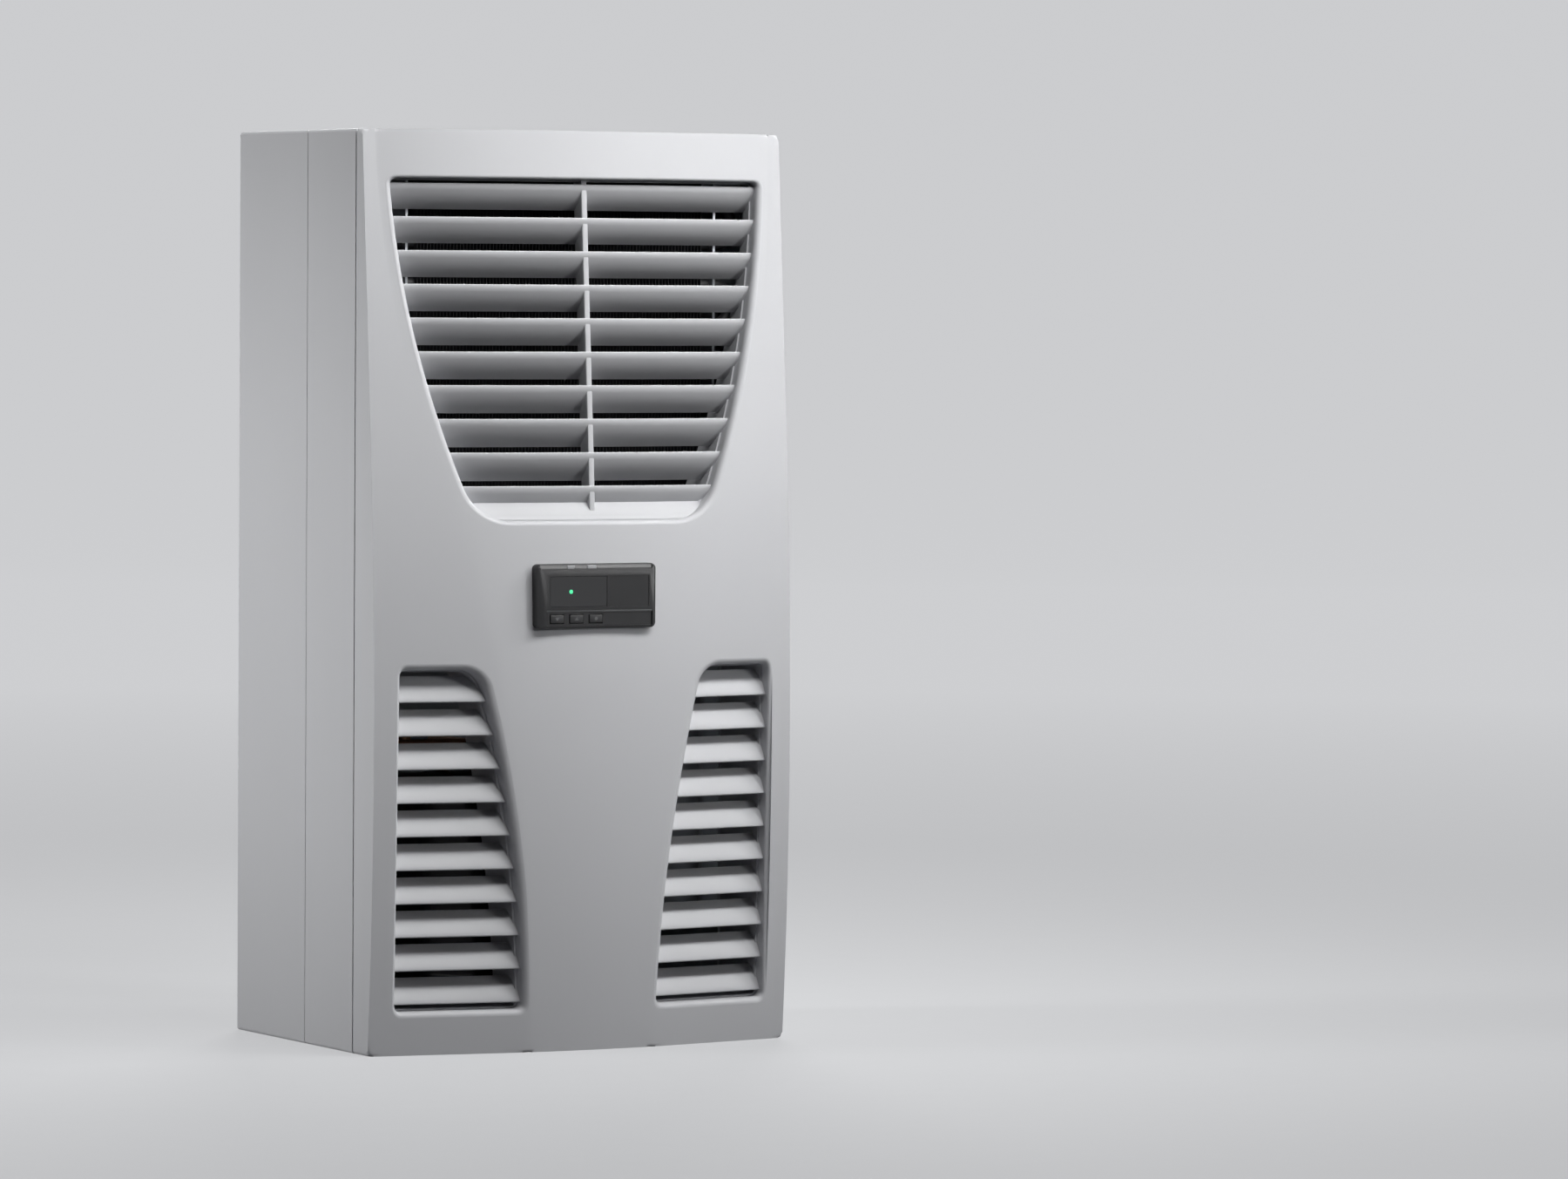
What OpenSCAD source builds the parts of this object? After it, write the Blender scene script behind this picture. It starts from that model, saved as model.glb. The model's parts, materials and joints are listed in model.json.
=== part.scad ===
// Upright cooling unit for the side or door of an electrical enclosure.
// A rear chassis holds the enclosure-air circuit, a hood and a moulded front cover hold the
// ambient-air circuit, and a sheet-metal partition keeps the two kinds of air apart.
// X runs to the right as seen from the front, the front looks along -Y, Z points up, and the
// origin lies on the ground under the middle of the unit.

/* [Casing] */
// Width of the casing
body_w = 280; // [270:1:320]
// Height of the casing
body_h = 550; // [545:1:600]
// Depth of the rear chassis, from the enclosure's wall to the seam
chassis_d = 97; // [94:0.5:110]
// Depth of the steel hood, from the seam to the front cover
hood_d = 67; // [65:0.5:80]
// Reach of the front cover ahead of the hood, at its fullest point
cover_d = 46; // [42:0.5:56]
// Thickness of the sheet steel
sheet_t = 1.5; // [1:0.1:2]
// Width of the open seam between chassis and hood
seam_gap = 0.6; // [0.3:0.1:1.5]
// Thickness of the foam gasket on the rear face
gasket_t = 3; // [2:0.5:5]
// Width of the foam gasket
gasket_w = 12; // [8:1:15]

/* [Front cover] */
// Wall of the moulded front cover
cover_wall = 2.5; // [1.8:0.1:3]
// Width of the shadow line between hood and cover
shadow_gap = 1.2; // [0.6:0.1:2]
// Reach of the cover's outer edges at their fullest height
edge_reach = 28.5; // [24:0.5:31]
// Height at which the cover reaches furthest forward
bow_z = 190; // [170:1:210]
// Radius of the cover's bow in side view
bow_r = 2500; // [2300:50:3500]
// Height above which the cover leans back straight
bow_end_z = 370; // [340:1:380]
// Radius of the raised middle of the cover in plan view
plan_r = 535; // [500:5:900]
// Half width of the raised middle at its foot
crease_foot = 41; // [38:0.5:42]
// Distance from the raised middle to the casing's side, at the top
crease_side = 8; // [6:0.5:10]
// Share of the height below which the raised middle flares outwards
crease_turn_share = 0.656; // [0.6:0.01:0.7]

/* [Grilles] */
// Distance from the casing's top to the upper opening
upper_top_gap = 29; // [24:0.5:34]
// Distance from the crease to the upper opening
upper_margin = 8; // [6:0.5:9]
// Radius of the upper opening's lower corners
upper_corner_r = 30; // [20:1:34]
// Height of the lower openings' lower edge
lower_bottom_z = 26; // [24:0.5:32]
// Distance from the casing's side to the lower openings
lower_side_gap = 16; // [13:0.5:18]
// Half distance between the lower openings at the ground line
lower_foot = 44.6; // [43:0.1:46]
// Radius of the lower openings' inner edges
lower_r = 880; // [850:10:1100]
// Radius of the lower openings' upper inner corners
lower_corner_r = 15; // [10:1:18]
// Radius of the openings' small corners
small_corner_r = 4; // [3:0.5:6]
// Distance between one louvre blade and the next
blade_pitch = 20; // [19:0.5:22]
// Height of a blade's front lip
lip_h = 2.3; // [1.6:0.1:3]
// How far a blade runs back behind its lip
blade_run = 12; // [9:0.5:13]
// How far an upper blade drops over that run
blade_fall = 15; // [10:0.5:15]
// How far a lower blade climbs over that run
blade_rise = 13; // [10:0.5:15]
// How far the lips stand behind the cover's face
lip_recess = 5; // [4:0.5:8]
// Width of the upper grille's middle bar
mullion_w = 4.5; // [4:0.5:8]

/* [Controller] */
// Width of the controller's face
ctrl_w = 80; // [78:1:84]
// Height of the controller's face
ctrl_h = 38.5; // [37:0.5:42]
// Distance from the controller's upper edge to the upper opening
ctrl_gap = 25.5; // [20:0.5:28]
// Offset of the controller's middle from the unit's middle
ctrl_x = -3; // [-4:0.5:4]
// How far the controller's face stands ahead of the cover's fullest point
ctrl_proud = 2.5; // [2:0.5:5]
// Width of the display window
window_w = 38; // [34:0.5:40]
// Height of the display window
window_h = 18.2; // [15:0.1:18.5]
// Travel of a key
key_travel = 0.6; // [0.4:0.1:0.7]

/* [Fans] */
// Gap between blade tips and ring
tip_gap = 1.6; // [1:0.1:3]
// Radius of the enclosure-air inlet
inlet_r = 50; // [44:1:52]
// Radius of both fan shafts
shaft_r = 4; // [3:0.5:5]
// Radial gap between a fan hub and its shaft
running_gap = 0.05; // [0.02:0.01:0.1]

/* [Cold circuit] */
// Room above the compressor, under the deck
comp_head_gap = 23; // [20:1:40]
// Distance from the rear face to the partition
partition_d = 78; // [77:0.5:80]
// Distance from the casing's inside to the heat exchangers' fin packs
coil_side_gap = 38.5; // [36:0.5:48]
// Distance between tube levels of a heat exchanger
tube_pitch = 25; // [24:0.5:25]
// Distance between the two tube rows of a heat exchanger
row_pitch = 14; // [13:0.5:15]
// Outer radius of the exchanger tubes
tube_r = 4; // [3:0.5:4.5]
// Distance between one fin and the next
fin_pitch = 6; // [5:0.5:10]

/* [Mounting] */
// Distance from the casing's sides to the mounting inserts
insert_side = 25; // [22:1:30]
// Distance from the casing's ends to the mounting inserts
insert_end = 40; // [35:1:55]
// Radius of the mounting inserts' bores
insert_bore_r = 3; // [2:0.5:4]
// Radius of the drain nozzle's bore
drain_bore_r = 5; // [4:0.5:6]

/* [Hidden] */

$fn = 48;
overrun = 1;
fit_gap = 0.2;
move_gap = 0.3;

paint = [0.773, 0.780, 0.769];
zinc = [0.66, 0.68, 0.70];
black = [0.06, 0.06, 0.07];
copper = [0.78, 0.48, 0.32];
alu = [0.80, 0.82, 0.84];
rubber = [0.10, 0.10, 0.11];

// Main planes of the casing
half_w = body_w / 2;
inner_half = half_w - sheet_t;
casing_d = chassis_d + hood_d + cover_d;
rear_y = (casing_d + ctrl_proud) / 2;
seam_y = rear_y - chassis_d;
joint_y = seam_y - hood_d;
front_y = -rear_y;
wall_out_y = rear_y - gasket_t;
wall_in_y = wall_out_y - sheet_t;
top_in_z = body_h - sheet_t;
part_y = rear_y - partition_d;
part_in_y = part_y + sheet_t;

// Heights that follow the height of the casing
upper_bottom_share = 0.5773;
lower_top_share = 0.4173;
deck_share = 0.3455;
upper_bottom_z = upper_bottom_share * body_h;
lower_top_z = lower_top_share * body_h;
deck_z = deck_share * body_h;
ctrl_z = upper_bottom_z - ctrl_gap - ctrl_h / 2;
coil_half = inner_half - coil_side_gap;

function sq(v) = v * v;

// Shape of the front cover: how far its skin stands ahead of the hood at each place
bow_end_run = bow_end_z - bow_z;
function bow(z) = z < bow_end_z
  ? sq(z - bow_z) / (2 * bow_r)
  : sq(bow_end_run) / (2 * bow_r) + bow_end_run / bow_r * (z - bow_end_z);
function middle_reach(x, z) = cover_d - bow(z) - (plan_r - sqrt(sq(plan_r) - sq(x)));

// The crease between the raised middle and the wings: two arcs that meet in one tangent
crease_top = half_w - crease_side;
crease_rise = crease_top - crease_foot;
crease_sum_r = (sq(body_h) + sq(crease_rise)) / (2 * crease_rise);
crease_low_r = crease_turn_share * crease_sum_r;
crease_high_r = crease_sum_r - crease_low_r;
crease_high_x = crease_top - crease_high_r;
function crease_x(z) = z < crease_turn_share * body_h
  ? crease_foot + crease_low_r - sqrt(sq(crease_low_r) - sq(z))
  : crease_high_x + sqrt(sq(crease_high_r) - sq(body_h - z));
function wing_reach(x, z) = let (c = crease_x(z), a = middle_reach(c, z), e = edge_reach - bow(z))
  a + (e - a) * (x - c) / (half_w - c);
function reach(x, z) = abs(x) < crease_x(z) ? middle_reach(x, z) : wing_reach(abs(x), z);

// A solid block from the hood's front plane to the cover's skin, drawn in by an inset
skin_rows = 22;
skin_cols = 4;
function column_x(j, z, side) = abs(j) > skin_cols
  ? sign(j) * side
  : crease_x(z) * j / skin_cols;
module cover_block(inset, back) {
  side = half_w - inset;
  last = skin_cols + 1;
  wide = 2 * last + 1;
  rows_z = [for (k = [0:skin_rows]) inset + (body_h - 2 * inset) * k / skin_rows];
  skin = [for (z = rows_z) for (j = [-last:last]) let (x = column_x(j, z, side))
    [x, -(reach(x, z) - inset), z]];
  base = len(skin);
  back_pts = [for (z = [inset, body_h - inset]) for (x = [-side, side]) [x, back, z]];
  function at(j, k) = k * wide + j;
  top = skin_rows;
  end = wide - 1;
  tris = [for (k = [0:top - 1]) for (j = [0:end - 1])
    for (t = [[at(j, k), at(j, k + 1), at(j + 1, k + 1)], [at(j, k), at(j + 1, k + 1), at(j + 1, k)]])
      t];
  left = concat([base, base + 2], [for (k = [top:-1:0]) at(0, k)]);
  right = concat([for (k = [0:top]) at(end, k)], [base + 3, base + 1]);
  roof = concat([at(0, top), base + 2, base + 3], [for (j = [end:-1:1]) at(j, top)]);
  floor = concat([at(end, 0), base + 1, base], [for (j = [0:end - 1]) at(j, 0)]);
  rear = [base + 1, base + 3, base + 2, base];
  translate([0, joint_y, 0])
    polyhedron(concat(skin, back_pts), concat(tris, [left, right, roof, floor, rear]), convexity = 6);
}

// Outlines of the openings, in front view, drawn in by an inset
function arc(cx, cz, r, a0, a1, n) =
  [for (i = [0:n]) let (a = a0 + (a1 - a0) * i / n) [cx + r * cos(a), cz + r * sin(a)]];
function inner_points(p) = [for (i = [1:len(p) - 2]) p[i]];
function mirrored(p) = [for (i = [len(p) - 1:-1:0]) [-p[i][0], p[i][1]]];
function upper_side(inset) = let (
    r = upper_corner_r - inset, rt = small_corner_r - inset, side_r = crease_high_r - upper_margin - inset,
    zb = upper_bottom_z + inset, zt = body_h - upper_top_gap - inset,
    bx = crease_high_x + sqrt(sq(side_r - r) - sq(body_h - zb - r)),
    ba = atan2(zb + r - body_h, bx - crease_high_x),
    tx = crease_high_x + sqrt(sq(side_r - rt) - sq(body_h - zt + rt)),
    ta = atan2(zt - rt - body_h, tx - crease_high_x))
  concat(arc(bx, zb + r, r, -90, ba, 8), inner_points(arc(crease_high_x, body_h, side_r, ba, ta, 12)),
    arc(tx, zt - rt, rt, ta, 90, 3));
module upper_outline(inset) {
  side = upper_side(inset);
  polygon(concat(side, mirrored(side)));
}
lower_side_x = half_w - lower_side_gap;
module lower_outline(inset) {
  cx = lower_foot + lower_r;
  side_r = lower_r - inset;
  r = lower_corner_r - inset;
  rs = small_corner_r - inset;
  zb = lower_bottom_z + inset;
  zt = lower_top_z - inset;
  xo = lower_side_x - inset - rs;
  tx = cx - sqrt(sq(side_r - r) - sq(zt - r));
  ta = atan2(zt - r, tx - cx);
  bx = cx - sqrt(sq(side_r - rs) - sq(zb + rs));
  ba = atan2(zb + rs, bx - cx);
  polygon(concat(arc(xo, zb + rs, rs, -90, 0, 3), arc(xo, zt - rs, rs, 0, 90, 3),
    arc(tx, zt - r, r, 90, ta, 6), inner_points(arc(cx, 0, side_r, ta, ba, 10)),
    arc(bx, zb + rs, rs, ba, 270, 3)));
}

// Helpers
module along_depth(y0, y1) {
  translate([0, y1, 0]) rotate([90, 0, 0]) linear_extrude(y1 - y0) children();
}
module block(x, y, z) {
  translate([x[0], y[0], z[0]]) cube([x[1] - x[0], y[1] - y[0], z[1] - z[0]]);
}
module rod(x, z, r, y0, y1) {
  translate([x, y1, z]) rotate([90, 0, 0]) cylinder(r = r, h = y1 - y0);
}
module post(x, y, r, z0, z1) {
  translate([x, y, z0]) cylinder(r = r, h = z1 - z0);
}
module bar_x(y, z, r, x0, x1) {
  translate([x0, y, z]) rotate([0, 90, 0]) cylinder(r = r, h = x1 - x0);
}
module frame_ring(half, low, high, wall, y0, y1) {
  difference() {
    block([-half, half], [y0, y1], [low, high]);
    block([wall - half, half - wall], [y0 - overrun, y1 + overrun], [low + wall, high - wall]);
  }
}
module rounded_rect(x, z, w, h, r) {
  for (dx = [-1, 1]) for (dz = [-1, 1])
    translate([x + dx * (w / 2 - r), z + dz * (h / 2 - r)]) circle(r = r, $fn = 24);
  translate([x - w / 2 + r, z - h / 2]) square([w - 2 * r, h]);
  translate([x - w / 2, z - h / 2 + r]) square([w, h - 2 * r]);
}
module corners(dx, z0, z1) {
  for (x = [-dx / 2, dx / 2]) for (z = [z0, z1]) translate([x, 0, z]) children();
}
// A bent pipe: straight runs with a slightly fuller ball at each bend
bend_over = 0.05;
module pipe(points, r) {
  for (i = [0:len(points) - 2]) {
    a = points[i];
    run = points[i + 1] - a;
    len_run = norm(run);
    translate(a) rotate([0, acos(run[2] / len_run), atan2(run[1], run[0])])
      cylinder(r = r, h = len_run, $fn = 24);
  }
  for (i = [1:1:len(points) - 2]) translate(points[i]) sphere(r = r + bend_over, $fn = 24);
}

// Casing
lap = 10;
lap_gap = 0.3;
insert_dx = body_w - 2 * insert_side;
insert_z0 = insert_end;
insert_z1 = body_h - insert_end;
insert_r = 4.5;
insert_flange_r = 6;
insert_flange_t = 0.8;
insert_len = 15;
corner_r = 2;
evap_fan_share = 0.8145;
evap_wheel_share = 0.1236;
evap_fan_z = evap_fan_share * body_h;
evap_fan_r = evap_wheel_share * body_h;
ring_flange_w = 8;
ring_flange_r = evap_fan_r + ring_flange_w;
tray_room = 28;
evap_head_gap = 27;
evap_bottom_z = deck_z + tray_room;
evap_levels = floor((evap_fan_z - ring_flange_r - evap_head_gap - evap_bottom_z) / tube_pitch);
evap_top_z = evap_bottom_z + evap_levels * tube_pitch;
outlet_side_lap = 2;
outlet_end_lap = 4;
outlet_x = coil_half - outlet_side_lap;
outlet_z0 = evap_bottom_z + outlet_end_lap;
outlet_z1 = evap_top_z - outlet_end_lap;
inlet_hole_gap = 6;
inlet_hole_r = inlet_r + inlet_hole_gap;
box_share = 0.266;
box_x0 = inner_half - box_share * body_w;
socket_drop = 62;
socket_x = (box_x0 + inner_half) / 2;
socket_z = deck_z - socket_drop;
socket_w = 46;
socket_h = 18;
drain_side_gap = 19;
drain_rear_gap = 14;
spout_t = 2;
drain_x = box_x0 - drain_side_gap;
drain_y = wall_in_y - drain_rear_gap;
drain_neck_r = drain_bore_r + spout_t;
module rounded_wrap(y0, y1) {
  along_depth(y0, y1) difference() {
    rounded_rect(0, body_h / 2, body_w, body_h, corner_r);
    translate([-inner_half, sheet_t]) square([2 * inner_half, body_h - 2 * sheet_t]);
  }
}
module rear_chassis() color(paint) difference() {
  rounded_wrap(seam_y, rear_y);
  post(drain_x, drain_y, drain_neck_r + fit_gap, -overrun, sheet_t + overrun);
}
module rear_panel() color(paint) difference() {
  block([-inner_half, inner_half], [wall_in_y, wall_out_y], [sheet_t, top_in_z]);
  rod(0, evap_fan_z, inlet_hole_r, wall_in_y - overrun, wall_out_y + overrun);
  block([-outlet_x, outlet_x], [wall_in_y - overrun, wall_out_y + overrun], [outlet_z0, outlet_z1]);
  block([socket_x - socket_w / 2 - fit_gap, socket_x + socket_w / 2 + fit_gap],
    [wall_in_y - overrun, wall_out_y + overrun],
    [socket_z - socket_h / 2 - fit_gap, socket_z + socket_h / 2 + fit_gap]);
  corners(insert_dx, insert_z0, insert_z1) rod(0, 0, insert_r + fit_gap / 2, wall_in_y - overrun, rear_y);
}
module joint_frame() color(zinc) {
  frame_ring(inner_half, sheet_t, top_in_z, lap_gap + sheet_t, seam_y, seam_y + lap);
  frame_ring(inner_half - lap_gap, sheet_t + lap_gap, top_in_z - lap_gap, sheet_t, seam_y - lap,
    seam_y + overrun);
}
gasket_half = inner_half - fit_gap;
module rear_gasket() color(rubber)
  frame_ring(gasket_half, sheet_t + fit_gap, top_in_z - fit_gap, gasket_w, wall_out_y, rear_y);
module mounting_inserts() color(zinc) corners(insert_dx, insert_z0, insert_z1) difference() {
  union() {
    rod(0, 0, insert_r, wall_out_y - insert_len, wall_out_y + insert_flange_t);
    rod(0, 0, insert_flange_r, wall_out_y, wall_out_y + insert_flange_t);
  }
  rod(0, 0, insert_bore_r, wall_out_y - insert_len - overrun, rear_y);
}
stud_side = 12;
stud_low_z = stud_side;
stud_high_z = body_h - stud_side;
stud_r = 3;
stud_len = 6;
hole_gap = 0.1;
stud_x = half_w - stud_side;
module hood() color(paint) difference() {
  union() {
    rounded_wrap(joint_y, seam_y - seam_gap);
    block([-inner_half - sheet_t / 2, inner_half + sheet_t / 2], [joint_y, joint_y + sheet_t],
      [sheet_t / 2, body_h - sheet_t / 2]);
  }
  along_depth(joint_y - overrun, joint_y + sheet_t + overrun) {
    upper_outline(0);
    lower_outline(0);
    mirror([1, 0]) lower_outline(0);
  }
  corners(2 * stud_x, stud_low_z, stud_high_z)
    rod(0, 0, stud_r + hole_gap, joint_y - overrun, joint_y + 2 * sheet_t);
}
stud_nut_r = 6;
stud_nut_t = 3;
module cover_studs() color(zinc) corners(2 * stud_x, stud_low_z, stud_high_z) {
  rod(0, 0, stud_r, joint_y - stud_len, joint_y + sheet_t + overrun);
  rod(0, 0, stud_nut_r, joint_y + sheet_t, joint_y + sheet_t + stud_nut_t);
}

// Partition between the two air circuits, with the deck over the compressor bay
part_half = inner_half - fit_gap;
flange_w = 14;
pipe_hole_gap = 0.5;
tray_spout_r = drain_bore_r + spout_t;
suction_r = 4;
capillary_r = 1.25;
lead_r = 3;
pipe_side_gap = 10.5;
suction_rear_gap = 24;
suction_x = pipe_side_gap - inner_half;
suction_y = wall_in_y - suction_rear_gap;
drier_side_gap = 32.5;
drier_rear_gap = 38;
drier_x = drier_side_gap - inner_half;
drier_y = wall_in_y - drier_rear_gap;
coil_wind_r = 14;
riser_x = drier_x - coil_wind_r;
lead_wall_gap = 12;
evap_lead_x = inner_half - pipe_side_gap;
evap_lead_y = part_in_y + lead_wall_gap;
module partition_wall() color(zinc) {
  block([-part_half, part_half], [part_y, part_in_y], [deck_z + sheet_t, top_in_z - fit_gap]);
  for (s = [-1, 1]) scale([s, 1, 1])
    block([part_half - sheet_t, part_half], [part_y, part_y + flange_w],
      [deck_z + sheet_t, top_in_z - fit_gap]);
  block([-part_half, part_half], [part_y, part_y + flange_w],
    [top_in_z - fit_gap - sheet_t, top_in_z - fit_gap]);
}
module bay_deck() color(zinc) difference() {
  block([-part_half, part_half], [part_y, wall_in_y - fit_gap], [deck_z, deck_z + sheet_t]);
  post(drain_x, drain_y, tray_spout_r + pipe_hole_gap, deck_z - overrun, deck_z + sheet_t + overrun);
  post(suction_x, suction_y, suction_r + pipe_hole_gap, deck_z - overrun, deck_z + sheet_t + overrun);
  post(riser_x, drier_y, capillary_r + pipe_hole_gap, deck_z - overrun, deck_z + sheet_t + overrun);
  post(evap_lead_x, evap_lead_y, lead_r + fit_gap, deck_z - overrun, deck_z + sheet_t + overrun);
}

// Compressor on its rubber grommets
plate_t = 3;
comp_share = 0.214;
comp_side_gap = 40.5;
comp_front_shift = 6;
foot_inset = 10;
comp_r = comp_share * body_w;
comp_x = comp_r + comp_side_gap - inner_half;
comp_y = part_y - comp_front_shift;
foot_dx = 2 * (comp_r - foot_inset);
foot_z = 18;
comp_base_z = foot_z + plate_t;
comp_top_z = deck_z - comp_head_gap;
comp_h = comp_top_z - comp_base_z;
comp_edge_r = 22;
grommet_r = 10;
grommet_neck_r = 5.8;
grommet_cap_r = 8;
grommet_cap_t = 4;
bolt_r = 3;
bolt_head_r = 6;
bolt_head_t = 4;
plate_low_z = 2 * sheet_t + lap_gap;
base_plate_z = plate_low_z + plate_t;
module at_feet() {
  for (dx = [-foot_dx / 2, foot_dx / 2]) for (dy = [-foot_dx / 2, foot_dx / 2])
    translate([comp_x + dx, comp_y + dy, 0]) children();
}
foot_margin = 12;
module base_plate() color(zinc) difference() {
  block([comp_x - foot_dx / 2 - foot_margin, comp_x + foot_dx / 2 + foot_margin],
    [comp_y - foot_dx / 2 - foot_margin, comp_y + foot_dx / 2 + foot_margin], [plate_low_z, base_plate_z]);
  at_feet() post(0, 0, bolt_r + hole_gap, 0, base_plate_z + overrun);
}
weld_share = 0.55;
weld_z = comp_base_z + comp_h * weld_share;
weld_t = 4;
weld_reach = 2.5;
module compressor_shell() color(black) difference() {
  translate([comp_x, comp_y, 0]) {
    rotate_extrude($fn = 72) {
      translate([0, comp_base_z]) square([comp_r - comp_edge_r, comp_h]);
      translate([0, comp_base_z + comp_edge_r]) square([comp_r, comp_h - 2 * comp_edge_r]);
      for (z = [comp_base_z + comp_edge_r, comp_top_z - comp_edge_r])
        translate([comp_r - comp_edge_r, z]) circle(r = comp_edge_r);
      translate([0, weld_z]) square([comp_r + weld_reach, weld_t]);
    }
    block([-foot_dx / 2 - foot_margin, foot_dx / 2 + foot_margin],
      [-foot_dx / 2 - foot_margin, foot_dx / 2 + foot_margin], [foot_z, comp_base_z + overrun / 2]);
  }
  at_feet() {
    post(0, 0, grommet_neck_r + fit_gap, foot_z - overrun, comp_base_z + overrun);
    post(0, 0, foot_margin, comp_base_z, comp_base_z + overrun);
  }
}
module compressor_grommets() color(rubber) at_feet() difference() {
  union() {
    post(0, 0, grommet_r, base_plate_z, foot_z);
    post(0, 0, grommet_neck_r, foot_z - overrun, comp_base_z + overrun);
    post(0, 0, grommet_cap_r, comp_base_z, comp_base_z + grommet_cap_t);
  }
  post(0, 0, bolt_r + fit_gap, 0, comp_top_z);
}
module compressor_bolts() color(zinc) at_feet() {
  post(0, 0, bolt_r, plate_low_z, comp_base_z + grommet_cap_t + overrun);
  post(0, 0, bolt_head_r, comp_base_z + grommet_cap_t, comp_base_z + grommet_cap_t + bolt_head_t);
}
relay_w = 46;
relay_h = 60;
relay_reach = 20;
relay_base_gap = 26;
relay_z = comp_base_z + relay_base_gap;
relay_x1 = comp_x + comp_r + relay_reach;
module relay_cover() color(black) difference() {
  block([comp_x + comp_r / 2, relay_x1], [comp_y - relay_w / 2, comp_y + relay_w / 2],
    [relay_z, relay_z + relay_h]);
  post(comp_x, comp_y, comp_r + fit_gap, relay_z - overrun, relay_z + relay_h + overrun);
  post(comp_x, comp_y, comp_r + weld_reach + fit_gap, weld_z - fit_gap, weld_z + weld_t + fit_gap);
}

// Heat exchangers: fin packs on serpentine tubes, held by end plates
fin_t = 0.8;
coil_d = 2 * row_pitch;
plate_half = coil_half + fin_pitch / 2;
end_plate_t = 1.5;
tube_end_gap = 2;
tube_half = plate_half + end_plate_t + tube_end_gap;
module at_tubes(levels) {
  for (k = [0:levels - 1]) for (row = [-0.5, 0.5])
    translate([row * row_pitch, (k + 0.5) * tube_pitch]) children();
}
module coil_plate(levels, margin) {
  difference() {
    translate([-coil_d / 2 - margin, 0]) square([coil_d + 2 * margin, levels * tube_pitch]);
    at_tubes(levels) circle(r = tube_r + hole_gap);
  }
}
module across(x0, t) {
  translate([x0, 0, 0]) rotate([90, 0, 90]) linear_extrude(t) children();
}
fin_count = floor(coil_half / fin_pitch);
module fin_pack(levels) {
  for (i = [-fin_count:fin_count]) across(i * fin_pitch - fin_t / 2, fin_t) coil_plate(levels, 0);
}
module end_plates(levels, margin) {
  across(-plate_half - end_plate_t, end_plate_t) coil_plate(levels, margin);
  across(plate_half, end_plate_t) coil_plate(levels, margin);
}
module half_bend(r) {
  rotate_extrude(angle = 180, $fn = 48) translate([r, 0]) circle(r = tube_r, $fn = 24);
}
module serpentine(levels, right_first) {
  for (row = [-0.5, 0.5]) {
    for (k = [0:levels - 1]) bar_x(row * row_pitch, (k + 0.5) * tube_pitch, tube_r, -tube_half, tube_half);
    for (k = [0:levels - 2]) {
      side = k % 2 == right_first ? -1 : 1;
      translate([side * tube_half, row * row_pitch, (k + 1) * tube_pitch])
        rotate([0, 0, side > 0 ? 0 : 180]) rotate([90, 0, 0]) rotate([0, 0, -90]) half_bend(tube_pitch / 2);
    }
  }
  top_side = (levels - 1) % 2 == right_first ? -1 : 1;
  translate([top_side * tube_half, 0, (levels - 0.5) * tube_pitch])
    rotate([0, 0, top_side > 0 ? -90 : 90]) half_bend(row_pitch / 2);
}
grille_tail = 5;
grille_back_y = joint_y + grille_tail;
plate_margin = 1.8;
cond_y = grille_back_y + 2 * move_gap + plate_margin + coil_d / 2;
shroud_lap = 3;
cond_head_gap = 27;
cond_bottom_z = upper_bottom_z + shroud_lap;
cond_levels = floor((top_in_z - cond_head_gap - cond_bottom_z) / tube_pitch);
module at_condenser() translate([0, cond_y, cond_bottom_z]) children();
module condenser_fins() color(alu) at_condenser() fin_pack(cond_levels);
module condenser_tubes() color(copper) at_condenser() serpentine(cond_levels, 1);
module condenser_end_plates() color(zinc) at_condenser() end_plates(cond_levels, plate_margin);
evap_rear_gap = 32;
evap_y = wall_in_y - evap_rear_gap;
module at_evaporator() translate([0, evap_y, evap_bottom_z]) children();
module evaporator_fins() color(alu) at_evaporator() fin_pack(evap_levels);
module evaporator_tubes() color(copper) at_evaporator() serpentine(evap_levels, 1);
evap_plate_x = plate_half + end_plate_t;
module evaporator_end_plates() color(zinc) {
  at_evaporator() end_plates(evap_levels, 0);
  for (s = [-1, 1]) scale([s, 1, 1])
    block([plate_half, evap_plate_x], [evap_y + coil_d / 2 - sheet_t, wall_in_y - fit_gap],
      [evap_bottom_z, evap_top_z]);
}

// Ambient-air fan and its shroud
shroud_y = cond_y + coil_d / 2 + plate_margin + fit_gap;
shroud_low_z = cond_bottom_z - fit_gap - sheet_t;
cond_fan_z = cond_bottom_z + cond_levels * tube_pitch / 2;
cond_fan_share = 0.153;
cond_fan_r = cond_fan_share * body_h;
ring_r = cond_fan_r + tip_gap;
ring_t = 1.5;
ring_len = 18;
pipe_notch = 24;
module fan_shroud() color(zinc) difference() {
  union() {
    block([-part_half, part_half], [shroud_y, shroud_y + sheet_t], [shroud_low_z, top_in_z - fit_gap]);
    block([pipe_notch - part_half, part_half], [grille_back_y + 2 * move_gap, shroud_y + sheet_t],
      [shroud_low_z, shroud_low_z + sheet_t]);
    rod(0, cond_fan_z, ring_r + ring_t, shroud_y, shroud_y + ring_len);
  }
  rod(0, cond_fan_z, ring_r, shroud_y - overrun, shroud_y + ring_len + overrun);
}
hub_share = 0.476;
motor_share = 0.357;
hub_r = hub_share * cond_fan_r;
hub_front_gap = 3;
hub_front_y = shroud_y + hub_front_gap;
hub_len = 24;
hub_wall = 2;
boss_r = 8;
motor_r = motor_share * cond_fan_r;
motor_flange_w = 6;
motor_flange_r = motor_r + motor_flange_w;
motor_flange_t = 2.5;
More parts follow.
